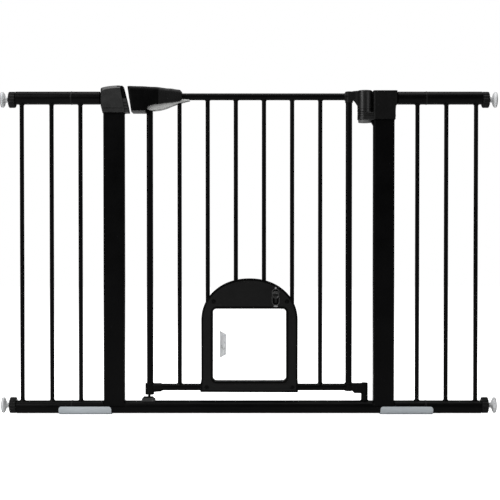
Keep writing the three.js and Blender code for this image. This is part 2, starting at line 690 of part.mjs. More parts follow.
// The forked bolt that slides down over the flap's top edge, with its knob on the front.
function flapLock() {
  const { x, halfWidth, halfDepth, low, high, knobZ, knobR, knobFace, stemHalf } = LOCK;
  const forkHalf = FLAP.halfThick + 0.4;
  return cut(
    join(
      box(x - halfWidth, x + halfWidth, -halfDepth, halfDepth, low, high),
      box(x - stemHalf, x + stemHalf, knobFace + 1.5, -2, knobZ - 3, knobZ + 3),
      rodY(knobR, x, knobFace, -PET.halfDepth - GAP, knobZ, 18),
    ),
    box(x - 10, x + 10, -forkHalf, forkHalf, low - 5, low + 9),
  );
}

function petDoor() {
  add('pet_frame_front', petFrameHalf(-PET.halfDepth, -GAP / 2), PLASTIC_BLACK);
  add('pet_frame_back', petFrameHalf(GAP / 2, PET.halfDepth), PLASTIC_BLACK);
  add('flap_panel', flapPanel(), CLEAR);
  add('flap_grip', flapGrip(), PAD_GREY);
  add('flap_lock', flapLock(), PLASTIC_BLACK);
}

// ---------------------------------------------------------------- build

frame();
extensionKits();
joinClips();
wallAdjusters();
doorLadder();
doorHardware();
handleAssembly();
petDoor();

gate.position.z = -SET_DOWN;

export default gate;
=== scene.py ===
"""The pet gate's looks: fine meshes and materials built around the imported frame.

Shapes are drawn in millimetres in the frame's own axes and turned into metres when a piece is made.
+X runs across the opening towards the hinge side, -Y faces the viewer, +Z is up.
"""
import math

import bmesh
import bpy
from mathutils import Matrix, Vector


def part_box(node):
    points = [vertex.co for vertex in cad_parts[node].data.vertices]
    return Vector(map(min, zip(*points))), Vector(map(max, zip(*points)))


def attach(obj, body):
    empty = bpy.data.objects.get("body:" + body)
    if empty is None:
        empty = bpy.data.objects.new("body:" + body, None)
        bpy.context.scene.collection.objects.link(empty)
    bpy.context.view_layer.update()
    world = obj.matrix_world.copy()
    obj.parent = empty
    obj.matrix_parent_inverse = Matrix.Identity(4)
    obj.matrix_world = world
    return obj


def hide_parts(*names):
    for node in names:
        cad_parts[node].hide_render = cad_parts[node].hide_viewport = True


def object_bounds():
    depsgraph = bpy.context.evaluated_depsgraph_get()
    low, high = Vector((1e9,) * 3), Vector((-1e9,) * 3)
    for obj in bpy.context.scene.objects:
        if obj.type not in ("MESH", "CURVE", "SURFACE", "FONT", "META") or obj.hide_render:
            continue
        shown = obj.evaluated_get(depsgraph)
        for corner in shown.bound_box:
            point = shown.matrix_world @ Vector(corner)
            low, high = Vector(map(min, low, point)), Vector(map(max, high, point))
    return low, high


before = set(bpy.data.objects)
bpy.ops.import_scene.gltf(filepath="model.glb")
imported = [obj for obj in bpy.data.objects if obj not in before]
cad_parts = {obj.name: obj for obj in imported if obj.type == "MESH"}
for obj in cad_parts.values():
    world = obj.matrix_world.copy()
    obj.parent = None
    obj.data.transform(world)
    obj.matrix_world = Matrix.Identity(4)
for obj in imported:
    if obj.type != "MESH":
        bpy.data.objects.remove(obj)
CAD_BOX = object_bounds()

MM = 0.001
SIDES = (("left", -1), ("right", 1))
LEVELS = ("top", "bottom")


def span(node):
    """A CAD node's lowest and highest corners, in millimetres."""
    low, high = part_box(node)
    return low / MM, high / MM


def middle(node):
    low, high = span(node)
    return (low + high) / 2


# ---- outlines

def arc(cx, cz, r, start, end, steps):
    """Points on an arc, its angles in degrees."""
    points = []
    for k in range(steps + 1):
        angle = math.radians(start + (end - start) * k / steps)
        points.append((cx + r * math.cos(angle), cz + r * math.sin(angle)))
    return points


def rounded_rect(x0, x1, z0, z1, r, steps=5, r_top=None):
    """A rectangle with rounded corners, the upper two of them r_top if that is given."""
    t = r if r_top is None else r_top
    corners = [(x0 + r, z0 + r, r), (x1 - r, z0 + r, r), (x1 - t, z1 - t, t), (x0 + t, z1 - t, t)]
    return [p for corner, start in zip(corners, (180, 270, 0, 90)) for p in arc(*corner, start, start + 90, steps)]


def grip_section(half, z0, z1):
    """A YZ section with a deeply rounded top and smaller lower corners."""
    tall = z1 - z0
    return rounded_rect(-half, half, z0, z1, min(3.0, tall * 0.3), 7, min(10.5, tall * 0.48, half * 0.9))


def hexagon(x, corner):
    angles = [math.radians(60 * k) for k in range(6)]
    return [(x + corner * math.sin(a), corner * math.cos(a)) for a in angles]


def bend(start, control, end, steps=10):
    """Points along a quadratic curve, without its first point."""
    points = []
    for k in range(1, steps + 1):
        t = k / steps
        a, b, c = (1 - t) ** 2, 2 * t * (1 - t), t * t
        points.append(tuple(a * p + b * q + c * s for p, q, s in zip(start, control, end)))
    return points


def along(points, t):
    """The value at place t on a list of (place, value), joined by smooth steps."""
    if t <= points[0][0]:
        return points[0][1]
    for (t0, v0), (t1, v1) in zip(points, points[1:]):
        if t <= t1:
            u = (t - t0) / (t1 - t0)
            return v0 + (v1 - v0) * u * u * (3 - 2 * u)
    return points[-1][1]


# ---- meshes

def bridge(shape, a, b):
    """Faces between two rings of vertices. A ring of one vertex closes as a fan."""
    count = max(len(a), len(b))
    for k in range(count):
        n = (k + 1) % count
        corners = [a[k % len(a)], a[n % len(a)], b[n % len(b)], b[k % len(b)]]
        unique = [v for i, v in enumerate(corners) if v not in corners[:i]]
        if len(unique) > 2:
            shape.faces.new(unique)


def lofted(rings, caps=True, closed=False):
    shape = bmesh.new()
    made = [[shape.verts.new(p) for p in ring] for ring in rings]
    for a, b in zip(made, made[1:]):
        bridge(shape, a, b)
    if closed:
        bridge(shape, made[-1], made[0])
    elif caps:
        for ring in (made[0], made[-1]):
            if len(ring) > 2:
                shape.faces.new(ring)
    return shape


AXIS_ORDER = {"x": (0, 1, 2), "y": (1, 0, 2), "z": (1, 2, 0)}  # where (place, u, v) sit in (x, y, z)


def circle(sides):
    """Evenly spaced angles, each with its cosine and sine."""
    angles = [2 * math.pi * k / sides for k in range(sides)]
    return [(a, math.cos(a), math.sin(a)) for a in angles]


def turned(profile, axis, at, sides, lobes=0, depth=0.0):
    """A piece turned about an axis. The profile lists (place along the axis, radius), and closes on
    itself unless it starts on the axis. Lobes scallop the radii beyond 0.8 of the widest."""
    widest = max(r for _, r in profile)
    rings = []
    for place, r in profile:
        bite = depth / 2 if r > 0.8 * widest else 0
        ring = []
        for a, c, s in circle(sides if r > 1e-6 else 1):
            reach = r - bite * (1 - math.cos(lobes * a))
            values = (place, reach * c, reach * s)
            ring.append(Vector(at) + Vector([values[i] for i in AXIS_ORDER[axis]]))
        rings.append(ring)
    return lofted(rings, caps=False, closed=profile[0][1] > 1e-6)


def about_x(profile, z, sides, **lobes):
    """A piece turned about the level line at height z, in the gate's middle plane."""
    return turned(profile, "x", (0, 0, z), sides, **lobes)


def about_y(profile, x, z, sides, **lobes):
    """A piece turned about the line through x and z that runs from front to back."""
    return turned(profile, "y", (x, 0, z), sides, **lobes)


def upright(profile, x, sides):
    """A piece turned about the vertical line at x, in the gate's middle plane."""
    return turned(profile, "z", (x, 0, 0), sides)


def ends(a, b, from_a, from_b):
    """A profile from a to b, given as (distance in from the end, radius) at each of its two ends."""
    way = math.copysign(1, b - a)
    return [(a + way * d, r) for d, r in from_a] + [(b - way * d, r) for d, r in from_b]


def rod(start, end, r):
    """The profile of a plain cylinder."""
    return ends(start, end, ((0, 0), (0, r)), ((0, r), (0, 0)))


def slab(outline, y0, y1):
    """A prism of an XZ outline."""
    return lofted([[(x, y, z) for x, z in outline] for y in (y0, y1)])


def column(outline, z0, z1):
    """A prism of an XY outline."""
    return lofted([[(x, y, z) for x, y in outline] for z in (z0, z1)])


def block(x0, x1, y0, y1, z0, z1):
    return slab([(x0, z0), (x1, z0), (x1, z1), (x0, z1)], y0, y1)


def limb(x0, x1, lower, upper, half, steps, corner):
    """An arm along X, given by smooth curves of its lower and upper edge and its half depth over 0..1.
    corner gives the rounding of the section's corners and their points."""
    rings = []
    for k in range(steps + 1):
        t = k / steps
        x, w = x0 + (x1 - x0) * t, along(half, t)
        section = rounded_rect(-w, w, along(lower, t), along(upper, t), *corner(t))
        rings.append([(x, y, z) for y, z in section])
    return lofted(rings)


def meshed(name, shape):
    """Moves a shape into a new mesh."""
    mesh = bpy.data.meshes.new(name)
    shape.to_mesh(mesh)
    shape.free()
    return mesh


def placed(name, data):
    """Links a new object into the scene."""
    obj = bpy.data.objects.new(name, data)
    bpy.context.scene.collection.objects.link(obj)
    return obj


def together(*shapes):
    """Several closed shapes as one mesh."""
    whole = bmesh.new()
    for shape in shapes:
        mesh = meshed("part", shape)
        whole.from_mesh(mesh)
        bpy.data.meshes.remove(mesh)
    return whole


def boolean(shape, cutters, operation="DIFFERENCE"):
    """Cuts the cutters out of a shape, or joins or intersects them with it."""
    objects = []
    for part in (shape, *cutters):
        bmesh.ops.recalc_face_normals(part, faces=part.faces)
        objects.append(placed("part", meshed("part", part)))
    base = objects[0]
    for tool in objects[1:]:
        cut = base.modifiers.new("cut", "BOOLEAN")
        cut.object = tool
        cut.operation = operation
        cut.solver = "EXACT"
    result = bmesh.new()
    result.from_object(base, bpy.context.evaluated_depsgraph_get())
    for obj in objects:
        mesh = obj.data
        bpy.data.objects.remove(obj)
        bpy.data.meshes.remove(mesh)
    bmesh.ops.remove_doubles(result, verts=result.verts, dist=0.002)
    return result


def rounded(shape, width, segments=3, angle=32):
    """Rounds over every edge sharper than an angle."""
    bmesh.ops.recalc_face_normals(shape, faces=shape.faces)
    limit = math.radians(angle)
    edges = [e for e in shape.edges if len(e.link_faces) == 2 and e.calc_face_angle(0) > limit]
    bmesh.ops.bevel(
        shape, geom=edges, offset=width, offset_type="OFFSET", segments=segments, profile=0.5,
        affect="EDGES", clamp_overlap=True,
    )
    return shape


def piece(name, shape, body, finish, replaces=(), sharp=38, weighted=True):
    """Turns a shape into an object that rides on a body, and stands for the CAD nodes it replaces."""
    slot, material = finish
    bmesh.ops.recalc_face_normals(shape, faces=shape.faces)
    for vertex in shape.verts:
        vertex.co *= MM
    mesh = meshed(name, shape)
    mesh.materials.append(material)
    mesh.shade_smooth()
    mesh.set_sharp_from_angle(angle=math.radians(sharp))
    obj = placed(name, mesh)
    if weighted:
        even = obj.modifiers.new("even_normals", "WEIGHTED_NORMAL")
        even.keep_sharp = True
        even.weight = 60
    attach(obj, body)
    if replaces:
        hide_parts(*replaces)


def skin(node, shape, body, finish, **looks):
    """A piece that stands for one CAD node and takes its name."""
    piece(f"{node}_skin", shape, body, finish, [node], **looks)


# ---- materials

def add_node(tree, kind, **inputs):
    """Adds a shader node and returns its outputs. Each input is a number or an output to link."""
    node = tree.nodes.new(f"ShaderNode{kind}")
    for label, value in inputs.items():
        socket = node.inputs[label.replace("_", " ")]
        if isinstance(value, bpy.types.NodeSocket):
            tree.links.new(value, socket)
        else:
            socket.default_value = value
    return node.outputs


def node_tree(owner):
    owner.use_nodes = True
    return owner.node_tree


def make_finish(name, slot, tint, rough, bumps, specular, **constants):
    """A slot and its Principled material, wired from procedural nodes. tint and rough give a noise's scale
    and detail, then the lowest and highest value. Each bump gives the sizes of its pattern, its strength
    and distance, and lies over the one before."""
    material = bpy.data.materials.new(name)
    tree = node_tree(material)
    shader = tree.nodes["Principled BSDF"]
    for label, value in {"Specular_IOR_Level": specular, **constants}.items():
        shader.inputs[label.replace("_", " ")].default_value = value
    place = add_node(tree, "TexCoord")["Object"]

    def pattern(scale, detail=None, stretch=None):
        """Cells, or noise if a detail is given."""
        if detail is None:
            return add_node(tree, "TexVoronoi", Scale=scale, Vector=place)["Distance"]
        source = add_node(tree, "Mapping", Vector=place, Scale=stretch)["Vector"] if stretch else place
        return add_node(tree, "TexNoise", Scale=scale, Detail=detail, Vector=source)["Fac"]

    ramp = tree.nodes.new("ShaderNodeValToRGB")
    for element, position, tone in zip(ramp.color_ramp.elements, (0.3, 0.7), tint[2:]):
        element.position = position
        element.color = (*tone, 1)
    tree.links.new(pattern(*tint[:2]), ramp.inputs["Fac"])
    tree.links.new(ramp.outputs["Color"], shader.inputs["Base Color"])
    low, high = rough[2:]
    spread = add_node(
        tree, "MapRange", Value=pattern(*rough[:2]), From_Min=0.3, From_Max=0.7, To_Min=low, To_Max=high)
    tree.links.new(spread["Result"], shader.inputs["Roughness"])
    under = {}
    for sizes, strength, distance in bumps:
        relief = add_node(tree, "Bump", Strength=strength, Distance=distance, Height=pattern(*sizes), **under)
        under = {"Normal": relief["Normal"]}
    tree.links.new(relief["Normal"], shader.inputs["Normal"])
    return slot, material


def moulded_black(name, low, high, gloss, smooth=0.34, slot="black_plastic"):
    """Fine-textured moulding, between two close greys."""
    bumps = (((55, 3), 0.10, 0.0004), ((1700,), 0.25, 0.00008))
    return make_finish(name, slot, (14, 4, [low] * 3, [high] * 3), (60, 3, smooth, smooth + 0.10), bumps, gloss)


def frosted(name, slot, low, high, through):
    bumps = (((80, 3), 0.15, 0.0004), ((1500,), 0.12, 0.00006))
    return make_finish(
        name, slot, (60, 4, low, high), (120, 4, 0.22, 0.42), bumps, 0.45, Transmission_Weight=through, IOR=1.45)


STEEL = make_finish(
    "black_powder_coat", "black_steel", (9, 4, (0.0011, 0.0011, 0.0012), (0.0019, 0.0019, 0.0020)),
    (35, 4, 0.30, 0.40), (((420, 2), 0.20, 0.0002), ((2600, 2), 0.10, 0.00006)), 0.06)
DEEP = moulded_black("deep_black_moulding", 0.0009, 0.0016, 0.05)
BLACK = moulded_black("black_moulding", 0.0020, 0.0034, 0.06)
SATIN = moulded_black("satin_black_moulding", 0.0062, 0.0078, 0.10)
HINGE_BODY = moulded_black("grained_black_moulding", 0.0042, 0.0060, 0.10)
HINGE = moulded_black("polished_black_moulding", 0.0075, 0.0105, 0.34, 0.26)
CAP = moulded_black("worn_black_moulding", 0.0130, 0.0180, 0.42, 0.26)
CHARCOAL = moulded_black("charcoal_moulding", 0.042, 0.060, 0.35)
BUSH = moulded_black("bush_grey_moulding", 0.085, 0.110, 0.30, slot="trigger_grey")
GREY = make_finish(
    "light_grey_moulding", "grey_plastic", (18, 4, (0.405, 0.440, 0.465), (0.455, 0.490, 0.515)),
    (50, 3, 0.40, 0.52), (((40, 3), 0.12, 0.0004), ((1900,), 0.15, 0.00006)), 0.4)
TRIGGER = make_finish(
    "mid_grey_moulding", "trigger_grey", (22, 4, (0.335, 0.338, 0.330), (0.400, 0.403, 0.395)),
    (70, 3, 0.28, 0.38), (((60, 3), 0.10, 0.0003), ((2200,), 0.10, 0.00005)), 0.5)
ZINC = make_finish(
    "zinc_plate", "zinc_steel", (70, 5, (0.50, 0.51, 0.53), (0.68, 0.685, 0.70)), (240, 4, 0.24, 0.40),
    (((900, 3, (0.15, 1, 1)), 0.18, 0.00006),), 0.5, Metallic=1.0)
CLEAR = make_finish(
    "clear_sheet", "clear_sheet", (6, 2, (0.975, 0.985, 0.985), (0.995, 0.998, 0.998)), (30, 4, 0.01, 0.045),
    (((9, 2), 0.04, 0.0006),), 0.35, Transmission_Weight=0.97, IOR=1.47)
FROSTED = frosted("frosted_pull", "frosted_plastic", (0.66, 0.67, 0.68), (0.74, 0.75, 0.76), 0.35)
PAD = frosted("silvery_pad", "pad_plastic", (0.68, 0.69, 0.70), (0.90, 0.91, 0.92), 0.25)
RUBBER = make_finish(
    "pad_rubber", "pad_plastic", (40, 4, (0.20, 0.205, 0.21), (0.26, 0.265, 0.27)), (90, 3, 0.62, 0.78),
    (((1400, 3), 0.35, 0.0001),), 0.3)
MARK = make_finish(
    "printed_mark", "grey_plastic", (300, 3, (0.20, 0.20, 0.20), (0.27, 0.27, 0.27)), (500, 3, 0.5, 0.65),
    (((2500, 2), 0.15, 0.00005),), 0.3)


# ---- driving sizes, from the frame

TUBE_R = (span("bottom_rail")[1].z - span("bottom_rail")[0].z) / 2
LOW_Z = middle("bottom_rail").z
HIGH_Z = middle("inner_kit_left_top_tube").z
RAIL_R = (span("door_top_rail")[1].z - span("door_top_rail")[0].z) / 2
DOOR_TOP_Z = middle("door_top_rail").z
DOOR_LOW_Z = middle("door_bottom_rail").z
STILE_LEFT_X = middle("door_stile_left").x
STILE_RIGHT_X = middle("door_stile_right").x
PIVOT_X = middle("hinge_pin").x
HALF_SEAM = 0.12  # from the middle plane to each half of the handle and of the pet frame
PIN_GAP = 0.3  # between the hinge pin and its sleeve
BUSH_TALL = 5.6  # the grey bush under the hinge's lug
DRUM_R = 17.5  # the hinge's barrel and lug


# ---- tubes, bars and posts

def tube_along_x(name, body):
    """A smooth hollow tube with softened ends, as long as its CAD node."""
    low, high = span(name)
    r = (high.y - low.y) / 2
    soft, wall = 0.35, 1.2
    end = ((0, r - wall), (0, r - soft), (soft, r))
    skin(name, about_x(ends(low.x, high.x, end, end[::-1]), middle(name).z, 56), body, STEEL)


def tube_surface(axis_z, r, side):
    """The height of a horizontal tube's skin above or below its axis, at a depth y."""
    return lambda y: axis_z + side * math.sqrt(max(r * r - y * y, 0.0))


def flat_surface(z):
    return lambda y: z


def welded_bar(name, body, foot, head, sides=28, head_bead=1.0):
    """An upright round bar. Both ends follow the surface they meet, in a small weld fillet."""
    low, high = span(name)
    r = (high.x - low.x) / 2
    x = middle(name).x
    fillet = [(2.0, -0.5), (1.9, 0.15), (1.15, 0.7), (0.6, 1.3), (0.22, 2.1), (0.0, 3.2)]
    rows = [(extra, rise, foot, 1) for extra, rise in fillet]
    rows += [(extra * head_bead, rise, head, -1) for extra, rise in reversed(fillet)]
    rings = []
    for extra, rise, surface, way in rows:
        ring = []
        for a, c, s in circle(sides):
            reach = r + extra * (1 + 0.10 * math.sin(5 * a + x))
            ring.append((x + reach * c, reach * s, surface(reach * s) + way * rise))
        rings.append(ring)
    skin(name, lofted(rings), body, STEEL, sharp=60)


def frame_posts():
    """Flat rectangular posts, notched round the bottom rail, with a weld fillet at the foot."""
    foot = tube_surface(LOW_Z, TUBE_R, 1)
    for name, _ in SIDES:
        box = span(f"post_{name}")
        rings = []
        for extra, rise in ((2.6, -0.4), (2.4, 0.6), (1.3, 1.9), (0.5, 3.6), (0.0, 6.0)):
            outline = plan(box, extra, 4 + extra, extra * 0.3)
            rings.append([(x, y, max(foot(y) + rise, LOW_Z + 3.2)) for x, y in outline])
        rings.append([(x, y, box[1].z) for x, y in plan(box, 0, 4, 0)])
        skin(f"post_{name}", lofted(rings), "frame", STEEL, sharp=50)


def plan(box, grow, corner, deep):
    """The plan of a box, grown along X and, by deep, along Y."""
    low, high = box
    return rounded_rect(low.x - grow, high.x + grow, low.y - deep, high.y + deep, corner)


def post_socket(post, z0, z1):
    """The hole in a cap that takes the head of a post."""
    return column(plan(post, 0.5, 4.4, 0.5), z0, z1)


def seam_ring(name, x, z):
    half = 1.6
    lip = [(-half, -0.6), (-half, 0.15), (-half * 0.6, 0.5), (half * 0.6, 0.5), (half, 0.15), (half, -0.6)]
    piece(name, about_x([(x + d, TUBE_R + rise) for d, rise in lip], z, 56), "frame", SATIN)


def frame_tubes():
    tube_along_x("bottom_rail", "frame")
    for name, side in SIDES:
        for level in LEVELS:
            inner = f"inner_kit_{name}_{level}_tube"
            outer = f"outer_kit_{name}_{level}_tube"
            tube_along_x(inner, "frame")
            tube_along_x(outer, "frame")
            seam_x = (span(inner)[side > 0].x + span(outer)[side < 0].x) / 2
            seam_ring(f"kit_seam_{name}_{level}", seam_x, middle(inner).z)
            end_plug(name, side, level)
        foot = tube_surface(LOW_Z, TUBE_R, 1)
        head = tube_surface(HIGH_Z, TUBE_R, -1)
        for bar in (f"inner_kit_{name}_bar", f"outer_kit_{name}_bar_1", f"outer_kit_{name}_bar_2"):
            welded_bar(bar, "frame", foot, head)


def end_plug(name, side, level):
    """The plastic plug that closes the tube's free end and guides the screw."""
    tube = f"outer_kit_{name}_{level}_tube"
    end = span(tube)[side > 0].x
    face, inner = end - side * 0.1, end - side * 14.1
    body = about_x([(face, 0), (face, TUBE_R - 1.3), (inner, TUBE_R - 1.5), (inner, 0)], middle(tube).z, 40)
    bore = about_x(rod(end - 40, end + 40, 4.0), middle(f"screw_{name}_{level}").z, 24)
    piece(f"end_plug_{name}_{level}", boolean(body, [bore]), "frame", BLACK)


def join_clips():
    """Grey U-shaped sleeves snapped under the bottom tubes, with rounded upper corners."""
    corner = 7
    for name, _ in SIDES:
        node = f"join_clip_{name}"
        low, high = span(node)
        outer = (high.y - low.y) / 2
        lip = math.degrees(math.asin((high.z - LOW_Z) / outer))
        section = arc(0, LOW_Z, outer, lip, -180 - lip, 40)
        section += arc(0, LOW_Z, TUBE_R + 0.15, -180 - lip, lip, 40)
        near = [corner * (1 - math.cos(math.radians(a))) for a in range(0, 91, 15)]
        stations = []
        for x in [low.x + d for d in near] + [high.x - d for d in reversed(near)]:
            edge = high.z - corner_drop(min(x - low.x, high.x - x), corner)
            stations.append([(x, y, min(z, edge) if z > LOW_Z - 4 else z) for y, z in section])
        under = LOW_Z - outer
        grooves = [block(x - 1, x + 1, -6, 6, under - 1, under + 0.8) for x in (low.x + 20, high.x - 20)]
        skin(node, rounded(boolean(lofted(stations), grooves), 0.35, 2, 50), "frame", GREY, sharp=45)


def corner_drop(d, r):
    """How far a rounded corner lowers the upper edge at a distance d from the end."""
    return r - math.sqrt(max(r * r - (r - d) ** 2, 0.0)) if d < r else 0.0


# ---- post caps and hinge bracket

def nose_x(height, low, high):
    """The x of the strike's nose line, which leans back and curves a little, at a height over its foot."""
    return high.x - 14.0 * (height / (high.z - low.z)) ** 1.25


def strike_outline(low, high, drop):
    """The cap's rim, its top let down by drop and its sides drawn in by a third of it."""
    side = drop / 3
    tall = high.z - low.z
    points = [(low.x + 4.3 + side, low.z + side * 0.2)]
    for k in range(9):
        height = (tall - drop * 0.9) * k / 8
        points.append((nose_x(height, low, high) - 9.0 + 2.2 * (k / 8) ** 3, low.z + max(height, side * 0.2)))
    points += bend(points[-1], (low.x + 17.6, high.z - 0.4 - drop), (low.x + 3 + side, high.z - 5 - drop), 10)
    points += bend(points[-1], (low.x + side, high.z - 6 - drop), (low.x + side, high.z - 10 - drop), 4)
    points.append((low.x + side, low.z + 17))
    return points


def bolt_pocket(low, high):
    return block(low.x + 41, high.x + 6, -9.5, 9.5, low.z + 28, low.z + 52)


def strike_housing():
    """The cover of the strike, its dark recessed nose and the ribbed catch below the bolt's pocket."""
    low, high = span("strike_housing")
    half = high.y
    rings = []
    for back, drop in ((0, 7.6), (0.25, 6.9), (0.8, 6.1), (5.6, 1.2), (6.8, 0.4), (8.4, 0.0)):
        rings.append([(x, back - half, z) for x, z in strike_outline(low, high, drop)])
    rings += [[(x, -y, z) for x, y, z in ring] for ring in reversed(rings)]
    post = span("post_left")
    groove_y = half - 1.2
    grooves = [block(low.x - 5, high.x + 5, y0, y1, low.z + 9.0, low.z + 11.0)
               for y0, y1 in ((-half - 1, -groove_y), (groove_y, half + 1))]
    socket = post_socket(post, low.z - 5, low.z + 6)
    shape = boolean(lofted(rings), [socket, bolt_pocket(low, high), *grooves])
    piece("strike_cover", shape, "frame", CAP, ["strike_housing"], sharp=42)
    strike_nose(low, high)
    housing_collar("strike_collar", low.z, post)


def strike_nose(low, high):
    tall = high.z - low.z
    split = 33.0  # the height of the line between the nose and the catch
    upper = [(split + (tall - 1.0 - split) * k / 6,) * 2 for k in range(7)]
    lower = [(split * k / 5, 0.6 + (split - 1.0) * k / 5) for k in range(6)]
    ribs = [block(high.x - 16, high.x + 2, -30, -16.4, low.z + h, low.z + h + 2.6) for h in (7, 14, 21)]
    for name, front, back, top, foot, half, soft, finish, cutters in (
        ("strike_nose", upper, 14, (tall, tall - 1.2), (split, split), 16.5, 0.8, STEEL, []),
        ("strike_catch", lower, 12, (split, split - 0.4), (0, 0.6), 18.4, 0.7, CAP, ribs),
    ):
        outline = [(nose_x(h, low, high), low.z + z) for h, z in front]
        outline += [(nose_x(h, low, high) - back, low.z + z) for h, z in (top, foot)]
        shape = boolean(slab(outline, -half, half), [bolt_pocket(low, high), *cutters])
        piece(name, rounded(shape, soft, 2, 40), "frame", finish, sharp=50)


def housing_collar(name, z, post):
    """A thin step under a cap, round the post."""
    outer, inner = plan(post, 1.6, 5.5, 1.6), plan(post, -0.6, 3.4, -0.6)
    loops = ((outer, z + 3), (outer, z - 0.6), (inner, z - 0.6), (inner, z + 3))
    rings = [[(x, y, h) for x, y in loop] for loop, h in loops]
    piece(name, rounded(lofted(rings, closed=True), 0.4, 2), "frame", BLACK)


def hinge_bracket():
    """The cap on the right post, with the web, guard, gusset, lug and bush that hang from it."""
    low, high = span("hinge_bracket")
    post = span("post_right")
    cap_low = low.z + 7
    wall_x = post[0].x - 1.3
    lower_x = post[1].x + 1.8
    cap = column(rounded_rect(wall_x, lower_x, low.y, high.y, 4.5), cap_low, high.z)
    sleeve_low = HIGH_Z - TUBE_R - 1
    sleeve = column(rounded_rect(wall_x + 9, high.x, low.y, high.y, 4.5), sleeve_low, high.z)
    shape = boolean(boolean(cap, [sleeve], "UNION"), [post_socket(post, cap_low - 5, cap_low + 6)])
    piece("hinge_bracket_cap", rounded(shape, 1.6, 4, 30), "frame", HINGE_BODY, ["hinge_bracket"], sharp=50)
    housing_collar("hinge_collar", cap_low, post)
    lip = low.z + BUSH_TALL
    hinge_lug(lip, span("hinge_sleeve")[0].z - 0.4, wall_x)
    side_flange(lower_x, cap_low + 7, sleeve_low + 0.5)
    guard = column(rounded_rect(PIVOT_X + 15.6, wall_x + 2, 12, 19, 1.2), low.z + 5, high.z - 4)
    piece("hinge_guard", rounded(guard, 0.6, 2, 50), "frame", BLACK)
    gusset = [
        (wall_x - 3.6, lip + 1), (wall_x - 3.6, low.z + 1), (wall_x + 2, low.z - 8.5), (wall_x + 4, low.z - 8.5),
        (wall_x + 4, lip + 1),
    ]
    piece("hinge_gusset", rounded(slab(gusset, -8, 8), 0.6, 2), "frame", BLACK)
    bush = [(low.z, 4.6), (low.z, 14.9), (low.z + 0.6, 15.5), (lip + 0.6, 15.5), (lip + 0.6, 4.6)]
    piece("hinge_bush", upright(bush, PIVOT_X, 40), "frame", BUSH)


def hinge_lug(base, top, wall_x):
    """The fixed lower half of the hinge: a ribbed D-shaped drum on the cap's side."""
    rows = [(base, -1.6), (base + 1.6, 0)]
    z = base + 9
    while z < top - 3:
        rows += [(z, 0), (z + 0.5, -0.7), (z + 1.3, -0.7), (z + 1.8, 0)]
        z += 4.2
    rows += [(top - 0.6, 0), (top, -0.6)]
    rings = []
    for height, inset in rows:
        r = DRUM_R + inset
        outline = arc(PIVOT_X, 0, r, 90, 270, 24) + [(wall_x + 2, -r), (wall_x + 2, r)]
        rings.append([(x, y, height) for x, y in outline])
    shape = boolean(lofted(rings), [upright(rod(base + 4, top + 5, 12), PIVOT_X, 32)])
    piece("hinge_bracket_lug", shape, "frame", HINGE, sharp=35)


def side_flange(x, z0, z1):
    """The thin waisted web on the cap's outer side, under the tube."""
    outline = [(x - 1, z0), (x + 1.6, z0)]
    outline += bend((x + 1.6, z0), (x + 0.4, (z0 + z1) / 2), (x + 2.6, z1), 10) + [(x - 1, z1)]
    piece("hinge_bracket_flange", rounded(slab(outline, -8, 8), 0.5, 3, 50), "frame", STEEL)


def hinge_core():
    """The pin, spring and sleeve inside the barrel, with softened ends."""
    low, high = span("hinge_pin")
    r = (high.x - low.x) / 2
    pin = ends(low.z, high.z, ((0, 0), (0, r - 0.6), (0.6, r)), ((1, r), (0, r - 1), (0, 0)))
    skin("hinge_pin", upright(pin, PIVOT_X, 28), "frame", ZINC)
    low, high = span("hinge_sleeve")
    corner = (high.x - low.x) / 2 / math.cos(math.radians(30))
    bore = upright(rod(low.z - 5, high.z + 5, r + PIN_GAP), PIVOT_X, 28)
    sleeve = boolean(column(hexagon(PIVOT_X, corner), low.z, high.z), [bore])
    skin("hinge_sleeve", rounded(sleeve, 0.4, 2, 45), "door_hinge", ZINC)
    closing_spring()


def closing_spring():
    low, high = span("closing_spring")
    wire = 1.1
    coil_r = (high.x - low.x) / 2 - wire
    turns, steps = 4, 28
    climb = (high.z - low.z - 2 * wire) / (turns * steps)
    rings = []
    for k in range(turns * steps + 1):
        angle = 2 * math.pi * k / steps
        u, v, z = math.cos(angle), math.sin(angle), low.z + wire + climb * k
        section = [(coil_r + wire * c, z + wire * s) for _, c, s in circle(10)]
        rings.append([(PIVOT_X + reach * u, reach * v, height) for reach, height in section])
    skin("closing_spring", lofted(rings), "frame", ZINC)


def latch_saddle():
    """The saddle under the door's free corner, with a closed socket for the foot pin and a dark rim."""
    low, high = span("latch_base")
    pin_x = (low.x + high.x) / 2 + 1.5
    top, foot, deep = high.z - 0.6, low.z + 5.4, high.y - 4
    lip = 2.2

    def socket(z0):
        return block(pin_x - 6, pin_x + 6, lip - deep, deep - lip, z0, top + 5)

    outline = [
        (low.x, foot), (high.x, foot), (high.x, top - 5), (high.x - 6.5, top), (low.x + 3.5, top), (low.x, top - 4),
    ]
    rail = about_x(rod(-300, -180, TUBE_R + 0.05), LOW_Z, 56)
    saddle = boolean(slab(outline, -deep, deep), [socket(high.z - 6.1), rail])
    skin("latch_base", rounded(saddle, 0.7, 3, 40), "frame", CAP)
    rim = block(low.x + 3.1, high.x - 6.1, -deep - 0.4, deep + 0.4, top - 1.0, top + 0.2)
    piece("latch_base_rim", rounded(boolean(rim, [socket(top - 5)]), 0.4, 2, 40), "frame", DEEP)


